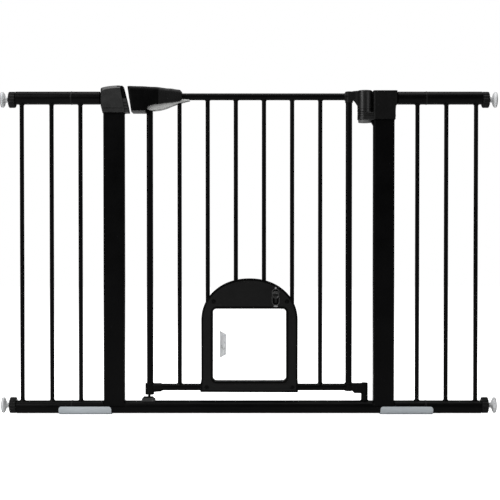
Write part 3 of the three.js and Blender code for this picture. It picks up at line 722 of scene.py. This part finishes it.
def hinge_socket():
    """The socket under the door's hinge corner, in its weld."""
    low, high = span("lower_hinge_socket")
    r = (high.y - low.y) / 2
    groove = ((6, r), (5.4, r - 0.5), (4.6, r - 0.5), (4, r), (0.8, r), (0, r - 0.8), (0, 3.9))
    profile = ends(LOW_Z + 11, high.z, ((0, 3.9), (0, r)), groove)
    skin("lower_hinge_socket", upright(profile, PIVOT_X, 40), "frame", BLACK)
    flare = ((12.8, 2.2), (15.4, 1.8), (16.4, 0.5), (16.8, -0.5), (12.8, -0.5))
    weld = upright([(LOW_Z + rise, r + extra) for rise, extra in flare], PIVOT_X, 40)
    piece("lower_hinge_weld", weld, "frame", STEEL)


# ---- wall adjusters

def adjuster_ends(node, side):
    """The x of a wall adjuster's inner and outer end, the radius and the height of its axis."""
    low, high = span(node)
    near, far = (low.x, high.x) if side > 0 else (high.x, low.x)
    return near, far, (high.z - low.z) / 2, middle(node).z


def hand_nut(name, side, level):
    node = f"hand_nut_{name}_{level}"
    near, far, r, z = adjuster_ends(node, side)
    edge = ((1.6, r), (0.5, r * 0.94), (0, r * 0.86))
    dish = ((0, r * 0.62), (1.6, r * 0.56), (1.6, r * 0.40), (0.2, r * 0.36), (0.2, 4.0))
    shape = about_x(ends(near, far, ((0, 4.0), *edge[::-1]), edge + dish), z, 144, lobes=16, depth=2.0)
    skin(node, shape, f"nut_{name}_{level}", SATIN, sharp=50)


def threaded_screw(name, side, level):
    """A steel screw with a real 3 mm thread, as fine as its length in view needs."""
    node = f"screw_{name}_{level}"
    low, high = span(node)
    r, pitch, per_turn, z = (high.z - low.z) / 2, 3.0, 6, middle(node).z
    count = int((high.x - low.x) / pitch * per_turn)
    rings = [[(low.x, 0, z)]]
    for k in range(count + 1):
        x = low.x + (high.x - low.x) * k / count
        ring = []
        for a, c, s in circle(16):
            phase = (x / pitch + side * a / (2 * math.pi)) % 1.0
            radius = r - 0.75 * abs(2 * phase - 1)
            ring.append((x, radius * c, z + radius * s))
        rings.append(ring)
    rings.append([(high.x, 0, z)])
    skin(node, lofted(rings, caps=False), node, ZINC, sharp=70, weighted=False)


def wall_pad(name, side, level):
    """A ribbed moulded disc on the screw's end, faced with a grooved rubber pad."""
    node, body = f"wall_pad_{name}_{level}", f"screw_{name}_{level}"
    neck, face, r, z = adjuster_ends(node, side)
    dome = (
        (10.0, 7.0), (9.1, 8.2), (8.5, 10.2), (7.7, 12.8), (6.6, 15.2), (5.3, r - 1.2), (4.1, r), (2.4, r),
        (2.0, r - 0.4), (2.0, 3.9),
    )
    disc = about_x(ends(neck, face, ((0, 3.9), (0, 5.6), (0.5, 6.0)), dome), z, 56)
    ribs = [pad_rib(face - 7.5 * side, side, r, math.radians(45 * k + 10), z) for k in range(8)]
    piece(f"{node}_disc", together(disc, *ribs), body, PAD, [node], sharp=40)
    rubber = [(2.1, 0), (2.1, r - 0.5), (0.5, r - 0.5), (0, r - 1.1)]
    for g in (14.0, 10.5, 7.0):
        rubber += [(0, g + 0.7), (0.7, g + 0.3), (0.7, g - 0.3), (0, g - 0.7)]
    pad = about_x(ends(neck, face, (), rubber + [(0, 0)]), z, 56)
    piece(f"{node}_rubber", pad, body, RUBBER, sharp=40)


def pad_rib(back, side, r, angle, z):
    """One radial stiffening rib on the back of a wall pad."""
    u = Vector((0, math.cos(angle), math.sin(angle)))
    v = Vector((0, -math.sin(angle), math.cos(angle))) * 0.6
    base = Vector((back + 3.2 * side, 0, z))
    tip = Vector((back - 1.2 * side, 0, z))
    rings = []
    for reach, crest in ((8.0, tip), (r - 2.6, tip + Vector((2.6 * side, 0, 0)))):
        low, high = base + u * reach, crest + u * reach
        rings.append([low - v, low + v, high + v * 0.6, high - v * 0.6])
    return lofted(rings)


def wall_adjusters():
    for name, side in SIDES:
        for level in LEVELS:
            hand_nut(name, side, level)
            threaded_screw(name, side, level)
            wall_pad(name, side, level)


# ---- door ladder

def door_ladder():
    tube_along_x("door_top_rail", "door")
    tube_along_x("door_bottom_rail", "door")
    under_top = tube_surface(DOOR_TOP_Z, RAIL_R, -1)
    over_low = tube_surface(DOOR_LOW_Z, RAIL_R, 1)
    arch_top = flat_surface(span("door_bar_3")[0].z)
    stile_foot = flat_surface(DOOR_LOW_Z - RAIL_R + 3.5)
    for name, head_bead in (("left", 0.0), ("right", 1.0)):  # the left head clears the latch bolt
        welded_bar(f"door_stile_{name}", "door", stile_foot, under_top, 36, head_bead)
    for i in range(1, 7):
        foot = arch_top if i in (3, 4) else over_low
        welded_bar(f"door_bar_{i}", "door", foot, under_top)


# ---- door hinges and foot

def hinge_barrel():
    """The barrel that turns on the hinge pin, capped and grooved like a turned moulding."""
    base, top, r = span("hinge_sleeve")[0].z, span("hinge_arm")[1].z, DRUM_R
    foot = ((0, 0), (0, r - 0.8), (0.8, r), (6, r), (6.5, r - 0.6), (7.3, r - 0.6), (7.8, r))
    head = (
        (5, r), (4.5, r - 0.5), (3.9, r - 0.5), (3.4, r), (2.0, r - 0.2), (0.7, r - 1.0), (0, r - 2.6), (0, 9),
        (0.7, 8.2), (0.7, 0),
    )
    bore = column(hexagon(PIVOT_X, 8.55), base - 5, top - 12)
    barrel = boolean(upright(ends(base, top, foot, head), PIVOT_X, 56), [bore])
    piece("hinge_barrel_skin", barrel, "door", HINGE, ["hinge_arm"], sharp=40)


def hinge_arm():
    """The moulded arm from the door's top corner to the barrel, arched underneath."""
    top = span("hinge_arm")[1].z
    web = limb(
        STILE_RIGHT_X, PIVOT_X - 14.5,
        lower=[(0, top - 27.5), (0.45, top - 24.0), (1, top - 36.0)],
        upper=[(0, top - 4.2), (0.5, top - 1.4), (1, top - 0.8)],
        half=[(0, 9.5), (0.5, 8.2), (1, 10.5)], steps=16, corner=lambda t: (4.2, 5),
    )
    piece("hinge_arm_web", web, "door", SATIN, sharp=50)
    knuckle = ((28.6, 7.6), (28.6, 8.2), (27.8, 9.0), (5.5, 9.4), (3.6, 8.9), (2.9, 8.2), (2.9, 7.6))
    knuckle = upright([(top - drop, r) for drop, r in knuckle], STILE_RIGHT_X, 44)
    piece("hinge_arm_knuckle", knuckle, "door", SATIN)
    lid = [(top - 4.0, 0), (top - 4.0, 8.0), (top - 2.9, 8.0), (top - 2.5, 7.0), (top - 2.3, 0)]
    piece("hinge_arm_lid", upright(lid, STILE_RIGHT_X, 44), "door", SATIN)
    rail_sleeve("hinge_rail_sleeve", STILE_RIGHT_X - 10.4, STILE_RIGHT_X - 4, DOOR_TOP_Z, SATIN)


def rail_sleeve(name, x0, x1, z, finish):
    """A moulded sleeve round a door rail, where a fitting grips it."""
    r = RAIL_R
    profile = ends(x0, x1, ((0, r - 0.2), (0, r + 0.6), (0.8, r + 1.2)), ((1.4, r + 1.2), (0, r + 0.4), (0, r - 0.2)))
    piece(name, about_x(profile, z, 44), "door", finish)


def lower_hinge_arm():
    """The elbow at the door's lower hinge corner, with the pin that turns in the socket."""
    low, high = span("lower_hinge_arm")
    top = high.z
    web = limb(
        STILE_RIGHT_X, PIVOT_X,
        lower=[(0, top - 18.5), (0.2, top - 18.8), (0.36, top - 24.4), (1, top - 24.6)], upper=[(0, top - 1.2)],
        half=[(0, 7.2), (0.5, 6.4), (1, 7.4)], steps=14, corner=lambda t: (3.2, 4),
    )
    piece("lower_hinge_web", web, "door", BLACK, ["lower_hinge_arm"], sharp=50)
    base = span("lower_hinge_socket")[1].z + 0.4
    lid = ((1.4, 8.0), (0.4, 7.4), (0, 6.2), (0, 4.2), (0.8, 3.8), (0.8, 0))
    boss = ends(base, top, ((0, 0), (0, 7.2), (0.8, 8.0)), lid)
    piece("lower_hinge_boss", upright(boss, PIVOT_X, 40), "door", BLACK)
    pin = ends(low.z, base + 2, ((0, 0), (0, 2.6), (0.9, 3.4)), ((0, 3.4), (0, 0)))
    piece("lower_hinge_pin", upright(pin, PIVOT_X, 28), "door", ZINC)
    stile_boot("lower_hinge_sleeve", STILE_RIGHT_X, 9.4, DOOR_LOW_Z - RAIL_R - 0.9, top)


def stile_boot(name, x, r, base, top):
    """A closed moulded boot over the foot of a stile."""
    rim = ((5.2, r), (4.6, r - 0.6), (3.8, r - 0.6), (3.2, r), (0.9, r), (0, r - 0.9), (0, 7.7))
    profile = ends(base, top, ((0, 0), (0, r - 1.0), (1.0, r)), rim) + [(base + 3.2, 7.7), (base + 3.2, 0)]
    piece(name, upright(profile, x, 44), "door", BLACK)


def latch_foot():
    """The boot at the door's free corner, its gusset along the rail and its steel foot pin."""
    low, high = span("latch_foot")
    stile_boot("latch_foot_boot", STILE_LEFT_X - 1, 10.4, span("door_stile_left")[0].z - 2.6, high.z)
    gusset = limb(
        STILE_LEFT_X + 4, high.x + 3.5,
        lower=[(0, DOOR_LOW_Z - 11.6), (0.8, DOOR_LOW_Z - 10.6), (1, DOOR_LOW_Z - RAIL_R)],
        upper=[(0, DOOR_LOW_Z - 1)], half=[(0, 7.0), (1, 4.0)], steps=12,
        corner=lambda t: (2.4 * (1 - 0.5 * t), 4),
    )
    piece("latch_foot_gusset", gusset, "door", BLACK, ["latch_foot"], sharp=50)
    rail_sleeve("latch_foot_sleeve", STILE_LEFT_X + 6, high.x + 1, DOOR_LOW_Z, BLACK)
    head = high.z - 22
    pin = [(low.z, 0), (low.z, 2.2), (low.z + 1.1, 3.1), (low.z + 4.0, 3.1), (head, 2.9), (head, 0)]
    piece("latch_foot_pin", upright(pin, STILE_LEFT_X - 2, 28), "door", STEEL)


# ---- handle

def handle_loft(low, high):
    """The grip's solid. Its curves list (distance from the left end, distance from the box)."""
    base, top, last = low.z, high.z, high.x - low.x
    lean_most = 9.5  # the left end leans in towards its foot by this much
    drops = [(0, 0), (30, 0.7), (63, 2.2), (98, 5.6), (last - 6, 8.2), (last, 11)]
    rises = [
        (0, 0), (43, 0), (44.7, 7.5), (47.5, 12.5), (54.5, 16), (64.5, 18.2), (98, 22), (last - 5, 24.6), (last, 27),
    ]
    insets = [(0, 1.5), (5, 0), (62, 1.0), (100, 3.0), (last - 6, 4.0), (last, 4.8)]
    throat = 64.5
    stops = [0, 0.4, 1.2, 2.4, 4]
    stops += [4 + 36.5 * k / 12 for k in range(1, 13)]
    stops += [42, 43, 43.7, 44.7, 45.9, 47.5, 49.5, 52, 54.5, 57.5, 61, throat]
    stops += [throat + (last - 8 - throat) * k / 14 for k in range(1, 15)]
    stops += [last - d for d in (5, 3, 1.6, 0.6, 0)]
    rings = []
    for d in stops:
        soft = max(0.0, 1 - d / 2.0) * 0.8
        closing = max(0.0, 1 - (last - d) / 5.0) ** 2
        zt = top - along(drops, d) - soft - 2.5 * closing
        zb = base + along(rises, d) + soft + 1.5 * closing
        lean = lean_most / (top - base) * max(0.0, 1 - d / 40)
        section = grip_section(-low.y - 0.4 - along(insets, d) - soft * 0.6, zb, zt)
        rings.append([(low.x + d + lean * (top - z), y, z) for y, z in section])
    return lofted(rings)


def handle():
    """The grip: a front and a back shell, each in two tones, bored for the rail, the stile and the bolt."""
    low, high = span("handle_front_shell")
    start = STILE_LEFT_X - 14
    rail = about_x(rod(STILE_LEFT_X - 7, high.x + 20, RAIL_R + 0.4), DOOR_TOP_Z, 40)
    slot = block(start, high.x + 30, -15, 15, low.z - 20, DOOR_TOP_Z - 3)
    window = block(low.x - 10, low.x + 32, -7.4, 7.4, DOOR_TOP_Z - 8.6, DOOR_TOP_Z + 4.6)
    whole = boolean(handle_loft(low, high), [rail, slot, window])
    keep = meshed("part", whole)
    seam = low.x + 72
    zones = (("heel", low.x - 30, seam - 0.1, DEEP), ("grip", seam + 0.1, high.x + 30, SATIN))
    for label, y0, y1 in (("front", -60, -HALF_SEAM), ("back", HALF_SEAM, 60)):
        for zone, x0, x1, tone in zones:
            shell = bmesh.new()
            shell.from_mesh(keep)
            shell = boolean(shell, [block(x0, x1, y0, y1, low.z - 30, high.z + 30)], "INTERSECT")
            node = [f"handle_{label}_shell"] if zone == "heel" else ()
            piece(f"handle_{label}_{zone}", shell, "door", tone, node, sharp=34)
    bpy.data.meshes.remove(keep)
    handle_trim(low, high)


def handle_trim(low, high):
    """A thin grey strip let into the underside of the handle's heel, and the screws in its back."""
    x0, x1 = low.x + 9.8, STILE_LEFT_X - 8.6
    base, top = low.z - 0.2, low.z + 3.2
    strip = slab([(x0, base), (x1, base), (x1 + 0.5, top), (x0 - 0.6, top)], low.y + 0.1, -low.y - 0.1)
    piece("handle_heel_strip", rounded(strip, 0.8, 3), "door", CHARCOAL)
    for k, (dx, dz) in enumerate(((24, 18), (62, 46), (105, 42))):
        recessed_screw(f"handle_screw_{k + 1}", low.x + dx, -low.y, low.z + dz, 3.4)


def recessed_screw(name, x, y, z, r):
    """A cross-head screw in the door's back, with a shallow dome."""
    profile = [(y - 3.0, 0), (y - 3.0, r), (y - 0.2, r), (y + 0.05, r * 0.9), (y + 0.15, r * 0.5), (y + 0.18, 0)]
    sizes = (r * 0.16, r * 0.62)
    cross = [block(x - a, x + a, y - 1.2, y + 1.2, z - b, z + b) for a, b in (sizes, sizes[::-1])]
    piece(name, boolean(about_y(profile, x, z, 28), cross), "door", ZINC, sharp=35)


def trigger():
    """The squeeze lever under the grip: two leaf-shaped cheeks joined by a floor."""
    low, high = span("trigger")
    left, z0, tip = low.x, low.z, high.x - low.x
    clear = 9.2  # half the room inside, for the stile and the bars

    def prism(outline, half):
        return slab([(left + x, z0 + z) for x, z in outline], -half, half)

    leaf = [(0.6, 8.4)]
    for control, end, steps in (((0.5, 0.2), (14, 0), 8), ((34, 0.4), (51, 7.6), 8), ((72, 17.1), (tip, 23.1), 9)):
        leaf += bend(leaf[-1], control, end, steps)
    leaf += [(tip, 25), (61, 26.3), (3, 11.5)]
    inside = prism([(15, 4.2), (33, 5.6), (63, 18), (63, 40), (15, 40)], clear)
    slots = [(left - 10, STILE_LEFT_X + 11.5), (left + 62, high.x + 20)]
    stile_slot, bar_slot = [block(x0, x1, -clear, clear, z0 - 10, z0 + 40) for x0, x1 in slots]
    shape = boolean(prism(leaf, 14), [stile_slot, inside, bar_slot])
    skin("trigger", rounded(shape, 1.6, 4, 34), "trigger", TRIGGER, sharp=50)
    line = [(-8, 0), (-8, 0.3), (-7.6, 0.6), (7.6, 0.6), (8, 0.3), (8, 0)]
    for k in range(3):
        bar = about_y(line, left + 22 + 5 * k, z0 + 0.25 + 0.6 * k, 12)
        piece(f"trigger_grip_line_{k + 1}", bar, "trigger", TRIGGER)


def latch_bolt():
    low, high = span("latch_bolt")
    nose, x = low.x + 0.2, low.x + 2.4
    outline = [(nose, low.z + 4), (x, low.z), (high.x, low.z), (high.x, high.z), (x, high.z), (nose, high.z - 4)]
    skin("latch_bolt", rounded(slab(outline, low.y, high.y), 0.6, 3), "latch_bolt", ZINC)


# ---- pet door

PET_LOW, PET_HIGH = span("pet_frame_front")
PET_X = (PET_LOW.x + PET_HIGH.x) / 2 + 0.75
PET_HALF = (PET_HIGH.x - PET_LOW.x) / 2 - 1.75
PET_FACE = PET_LOW.y
PET_TOP = PET_HIGH.z + 1.8
PET_BASE = PET_LOW.z + 1
PET_SPRING = PET_HIGH.z - 94.5  # where the arch leaves the upright sides
ARCH_POWER = 2 / 2.1  # a little fuller in the shoulders than an ellipse, whose power is 1
OPEN_X = (PET_X - 85.0, PET_X + 85.2)
OPEN_Z = (PET_BASE + 24.9, PET_BASE + 193.5)
LOCK_LOW, LOCK_HIGH = span("flap_lock")
LOCK_X = (LOCK_LOW.x + LOCK_HIGH.x) / 2
LOCK_BOLT_TOP = LOCK_HIGH.z - 4.5
SLOT_Z = (LOCK_LOW.z + 7.0, LOCK_HIGH.z + 2.9)
GRIP_LOW, GRIP_HIGH = span("flap_grip")
CORE_Z = (GRIP_LOW.z + 11, GRIP_HIGH.z - 11)  # the pull's core through the sheet


def pet_outline(inset=0.0):
    half = PET_HALF - inset
    rise = PET_TOP - PET_SPRING - inset
    left, right = PET_X - half, PET_X + half
    points = [
        (left - 2.3, PET_BASE + inset), (right + 0.9, PET_BASE - 0.9 + inset), (right + 0.9, PET_BASE + 20),
        (right, PET_BASE + 30),
    ]
    steps = 64
    for k in range(steps + 1):
        c, s = math.cos(math.pi * k / steps), math.sin(math.pi * k / steps)
        reach = math.copysign(abs(c) ** ARCH_POWER, c)
        points.append((PET_X + half * reach, PET_SPRING + rise * s ** ARCH_POWER))
    points += [(left, PET_BASE + 30), (left - 2.3, PET_BASE + 16)]
    return points


def opening_outline(grow=0.0):
    return rounded_rect(OPEN_X[0] - grow, OPEN_X[1] + grow, OPEN_Z[0] - grow, OPEN_Z[1] + grow, 9 + grow, 10)


def lock_surround(grow, steps=10):
    """The round-ended outline about the lock's slot."""
    half = 7.0 + grow
    return rounded_rect(LOCK_X - half, LOCK_X + half, SLOT_Z[0] - grow, SLOT_Z[1] + grow, 6.8 + grow, steps)


def pet_frame_half(label, face, way):
    """One half of the arch, with a raised inner rim, screw wells and, in front, the lock's slot."""
    cutters = [slab(opening_outline(), -30, 30)]
    for x, z in screw_places():
        cutters.append(about_y(rod(face - way * 1.4, face + way * 3, 4.2), x, z, 28))
    for i in (2, 3, 4, 5):
        cutters.append(upright(rod(PET_BASE - 20, PET_TOP + 50, 5.15), middle(f"door_bar_{i}").x, 28))
    cutters.append(about_x(rod(-200, 200, RAIL_R + 0.15), DOOR_LOW_Z, 40))
    cutters.append(block(LOCK_X - 4.4, LOCK_X + 4.4, -4.9, 4.9, OPEN_Z[1] - 6, LOCK_BOLT_TOP + 0.5))
    if way < 0:
        cutters.append(slab(lock_surround(0, 8), -30, face + 2.4))
        cutters.append(block(LOCK_X - 2.5, LOCK_X + 2.5, -30, 0, SLOT_Z[0] + 3, SLOT_Z[1] - 4))
    y0, y1 = sorted((face, way * HALF_SEAM))
    shape = rounded(boolean(slab(pet_outline(), y0, y1), cutters), 1.3, 3, 40)
    # the shell is a darker black than the raised field laid on it, so its uncovered border is painted shade
    skin(f"pet_frame_{label}", shape, "door", DEEP, sharp=50)
    lip = ((0.2, -1.5), (0.2, 0.7), (0.8, 1.2), (2.4, 1.2), (3.0, 0.7), (3.0, -1.5))
    standing_lip(f"pet_frame_{label}_rim", opening_outline, face, way, lip, DEEP)
    raised_field(label, face, way)


def standing_lip(name, outline, face, way, section, finish):
    """A closed lip along an outline. Its section lists (growth of the outline, height over the face)."""
    rings = [[(x, face + way * out, z) for x, z in outline(grow)] for grow, out in section]
    piece(name, lofted(rings, closed=True), "door", finish, sharp=50)


def raised_field(label, face, way):
    """The grained field between the arch's border and the lip of the opening. The shell left bare round it is a
    darker black than the field: painted shade along the arch's edges.
    """
    low, high = sorted((face - way * 0.6, face + way * 0.7))
    cutters = [slab(opening_outline(5.2), low - 5, high + 5)]
    cutters += [about_y(rod(low - 5, high + 5, 5.0), x, z, 28) for x, z in screw_places()]
    if way < 0:
        cutters.append(slab(lock_surround(1.9), low - 5, high + 5))
    shape = boolean(slab(pet_outline(4.6), low, high), cutters)
    # a lighter black than the shell beneath, which leaves the border round it as painted shade
    piece(f"pet_frame_{label}_field", rounded(shape, 0.45, 2, 40), "door", SATIN, sharp=50)


def screw_places():
    top, base = OPEN_Z[1] + 17, PET_BASE + 11
    return [(OPEN_X[0] + 2, top), (OPEN_X[1] + 2, top), (OPEN_X[0] - 14, base), (OPEN_X[1] + 14.5, base)]


def pet_screws():
    """Screws in the back of the arch, and the plugs over their ends in front."""
    plug = [(PET_FACE + d, r) for d, r in ((1.5, 0), (1.5, 3.9), (0.7, 3.7), (0.5, 2.4), (0.45, 0))]
    for k, (x, z) in enumerate(screw_places()):
        recessed_screw(f"pet_screw_{k + 1}", x, -PET_FACE - 1.2, z, 3.5)
        piece(f"pet_plug_{k + 1}", about_y(plug, x, z, 28), "door", BLACK)


def flap_lock():
    """The forked bolt and its ribbed knob, as one moulding, and the two marks beside its slot."""
    x, z, face = LOCK_X, LOCK_HIGH.z - 9.5, LOCK_LOW.y
    fork = block(x - 10, x + 10, -1.95, 1.95, LOCK_LOW.z - 5, LOCK_LOW.z + 9)
    bolt = boolean(block(x - 3.9, x + 3.9, -4.4, 4.4, LOCK_LOW.z, LOCK_BOLT_TOP), [fork])
    piece("flap_lock_bolt", rounded(bolt, 0.5, 2), "flap_lock", CAP, ["flap_lock"])
    stem = block(x - 1.9, x + 1.9, -13.5, -3, z - 2.9, z + 2.9)
    piece("flap_lock_stem", rounded(stem, 0.4, 2), "flap_lock", BLACK)
    knob = [(PET_FACE - 0.4, 0), (PET_FACE - 0.4, 8.6), (PET_FACE - 1.0, 9.4)]
    knob += [(face + d, r) for d, r in ((1.2, 9.4), (0.3, 8.6), (0, 7.4), (0.9, 6.4), (1.2, 4), (1.2, 0))]
    knob = about_y(knob, x, z, 72, lobes=18, depth=0.9)
    piece("flap_lock_knob", knob, "flap_lock", CAP, sharp=45)
    ridge = slab(rounded_rect(x - 6.2, x + 6.2, z - 1.5, z + 1.5, 1.4), face + 0.15, face + 2.0)
    piece("flap_lock_ridge", rounded(ridge, 0.5, 3), "flap_lock", BLACK)
    lip = ((0.4, -0.6), (0.4, 0.6), (0.8, 1.0), (1.5, 1.0), (1.9, 0.6), (1.9, -0.6))
    standing_lip("lock_surround", lock_surround, PET_FACE, -1, lip, CHARCOAL)
    dot = [(PET_FACE - d, r) for d, r in ((-0.3, 0), (-0.3, 2.3), (0.7, 2.2), (0.95, 1.5), (1.0, 0))]
    piece("lock_mark_open", about_y(dot, x, SLOT_Z[1] + 3.4, 24), "door", MARK)
    bar = rounded_rect(x - 4.8, x + 4.8, SLOT_Z[0] - 5.2, SLOT_Z[0] - 2.1, 1.4, 6)
    piece("lock_mark_shut", rounded(slab(bar, PET_FACE - 1.0, PET_FACE + 0.4), 0.25, 2), "door", MARK)


def flap():
    """The clear flap with softened edges, its moulded hinge edge and the pull through it."""
    low, high = span("flap_panel")
    pivot = high.x - 3.5
    z0, z1 = OPEN_Z[0] + 2.2, OPEN_Z[1] - 2.2
    outline = arc(low.x + 7, z0 + 7, 7, 180, 270, 8) + [(pivot - 2.5, z0), (pivot - 2.5, z1)]
    outline += arc(low.x + 7, z1 - 7, 7, 90, 180, 8)
    hole = block(GRIP_LOW.x + 3, GRIP_LOW.x + 12, -10, 10, CORE_Z[0] - 0.1, CORE_Z[1] + 0.1)
    sheet = boolean(slab(outline, -1.5, 1.5), [hole])
    piece("flap_sheet", rounded(sheet, 0.5, 3, 40), "flap", CLEAR, ["flap_panel"], sharp=40)
    pin, barrel = ((0, 0), (0, 1.8), (0.5, 2.15)), ((0, 2.15), (0, 3.1), (0.5, 3.5))
    edge = ends(low.z, high.z, pin, ()) + ends(z0, z1, barrel, barrel[::-1]) + ends(low.z, high.z, (), pin[::-1])
    piece("flap_hinge_edge", upright(edge, pivot, 28), "flap", CLEAR)
    flap_pull(GRIP_LOW, GRIP_HIGH)


def flap_pull(low, high):
    """A tapered pull on each face, dished for a fingertip, joined by a core through the sheet."""
    outline = [(low.x, low.z), (high.x, low.z + 8), (high.x, high.z - 8), (low.x, high.z)]
    dish = [(-26, 0), (-26, 1.0), (-18, 3.6), (0, 5.0), (18, 3.6), (26, 1.0), (26, 0)]
    shapes = []
    for way in (-1, 1):
        near, far = sorted((way * 1.8, way * 8))
        hollow = turned(dish, "z", ((low.x + high.x) / 2 - 0.5, way * 10.2, (low.z + high.z) / 2), 28)
        shapes.append(rounded(boolean(slab(outline, near, far), [hollow]), 0.9, 3, 34))
    shapes.append(block(low.x + 3.3, low.x + 11.7, -2.2, 2.2, CORE_Z[0] + 0.3, CORE_Z[1] - 0.3))
    piece("flap_pull", together(*shapes), "flap", FROSTED, ["flap_grip"], sharp=45)


# ---- stage

SURROUND = 0.07  # how brightly the white surround lights the gate
FLOOR_GLOW = 1.0
FLOOR_HALF = 6.0
FLOOR_LOOKS = (
    ("Base Color", (0.90, 0.90, 0.90, 1)), ("Roughness", 0.95), ("Specular IOR Level", 0.1),
    ("Emission Color", (1, 1, 1, 1)),
)
SOFT_BOXES = (  # name, place, size in metres, watts
    ("key", (-1.9, -1.7, 1.9), 1.6, 66), ("top", (0.1, 0.1, 2.5), 2.2, 48), ("fill", (2.1, -1.9, 1.0), 1.4, 9),
)
LIGHT_TARGET = Vector((0, 0, 0.35))
CAMERA_AIM = Vector((0.0025, 0, 0.3827))
CAMERA_AWAY, CAMERA_TILT = 2.667, math.radians(1.0)
LENS, SENSOR = 82.6, 36


def studio():
    """A pale floor, three soft boxes and a dim surround, with the background white in view."""
    h, z = FLOOR_HALF, CAD_BOX[0].z
    mesh = bpy.data.meshes.new("floor")
    mesh.from_pydata([(-h, -h, z), (h, -h, z), (h, h, z), (-h, h, z)], [], [(0, 1, 2, 3)])
    floor = placed("floor", mesh)
    material = bpy.data.materials.new("floor_pale")
    tree = node_tree(material)
    pale = tree.nodes["Principled BSDF"].inputs
    for label, value in FLOOR_LOOKS:
        pale[label].default_value = value
    direct_view(tree, 0.0, FLOOR_GLOW, pale["Emission Strength"])
    mesh.materials.append(material)

    world = bpy.data.worlds.new("studio")
    bpy.context.scene.world = world
    tree = node_tree(world)
    background = tree.nodes["Background"].inputs
    background["Color"].default_value = (1, 1, 1, 1)
    direct_view(tree, SURROUND, 1.0, background["Strength"])

    for name, place, size, watts in SOFT_BOXES:
        light = bpy.data.lights.new(name, "AREA")
        light.shape = "SQUARE"
        light.size = size
        light.energy = watts
        lamp = placed(name, light)
        lamp.location = place
        lamp.rotation_euler = (LIGHT_TARGET - Vector(place)).to_track_quat("-Z", "Y").to_euler()


def direct_view(tree, indirect, direct, socket):
    """Gives a socket one strength where the surface lights the gate, and another where it is seen."""
    rays = add_node(tree, "LightPath")
    seen = tree.nodes.new("ShaderNodeMath")
    seen.operation = "MAXIMUM"
    tree.links.new(rays["Is Camera Ray"], seen.inputs[0])
    tree.links.new(rays["Is Transmission Ray"], seen.inputs[1])
    blend = add_node(tree, "Mix", A=indirect, B=direct, Factor=seen.outputs[0])
    tree.links.new(blend["Result"], socket)


def camera():
    """A distant camera, nearly square on, looking slightly down at the middle of the gate."""
    data = bpy.data.cameras.new("view")
    data.sensor_width = SENSOR
    data.lens = LENS
    view = placed("view", data)
    view.location = CAMERA_AIM + CAMERA_AWAY * Vector((0, -math.cos(CAMERA_TILT), math.sin(CAMERA_TILT)))
    view.rotation_euler = (math.pi / 2 - CAMERA_TILT, 0, 0)
    bpy.context.scene.camera = view
    bpy.context.scene.view_settings.view_transform = "Standard"


# ---- build

frame_tubes()
frame_posts()
join_clips()
strike_housing()
hinge_bracket()
hinge_core()
latch_saddle()
hinge_socket()
wall_adjusters()
door_ladder()
hinge_barrel()
hinge_arm()
lower_hinge_arm()
latch_foot()
handle()
trigger()
latch_bolt()
pet_frame_half("front", PET_FACE, -1)
pet_frame_half("back", -PET_FACE, 1)
pet_screws()
flap_lock()
flap()
studio()
camera()
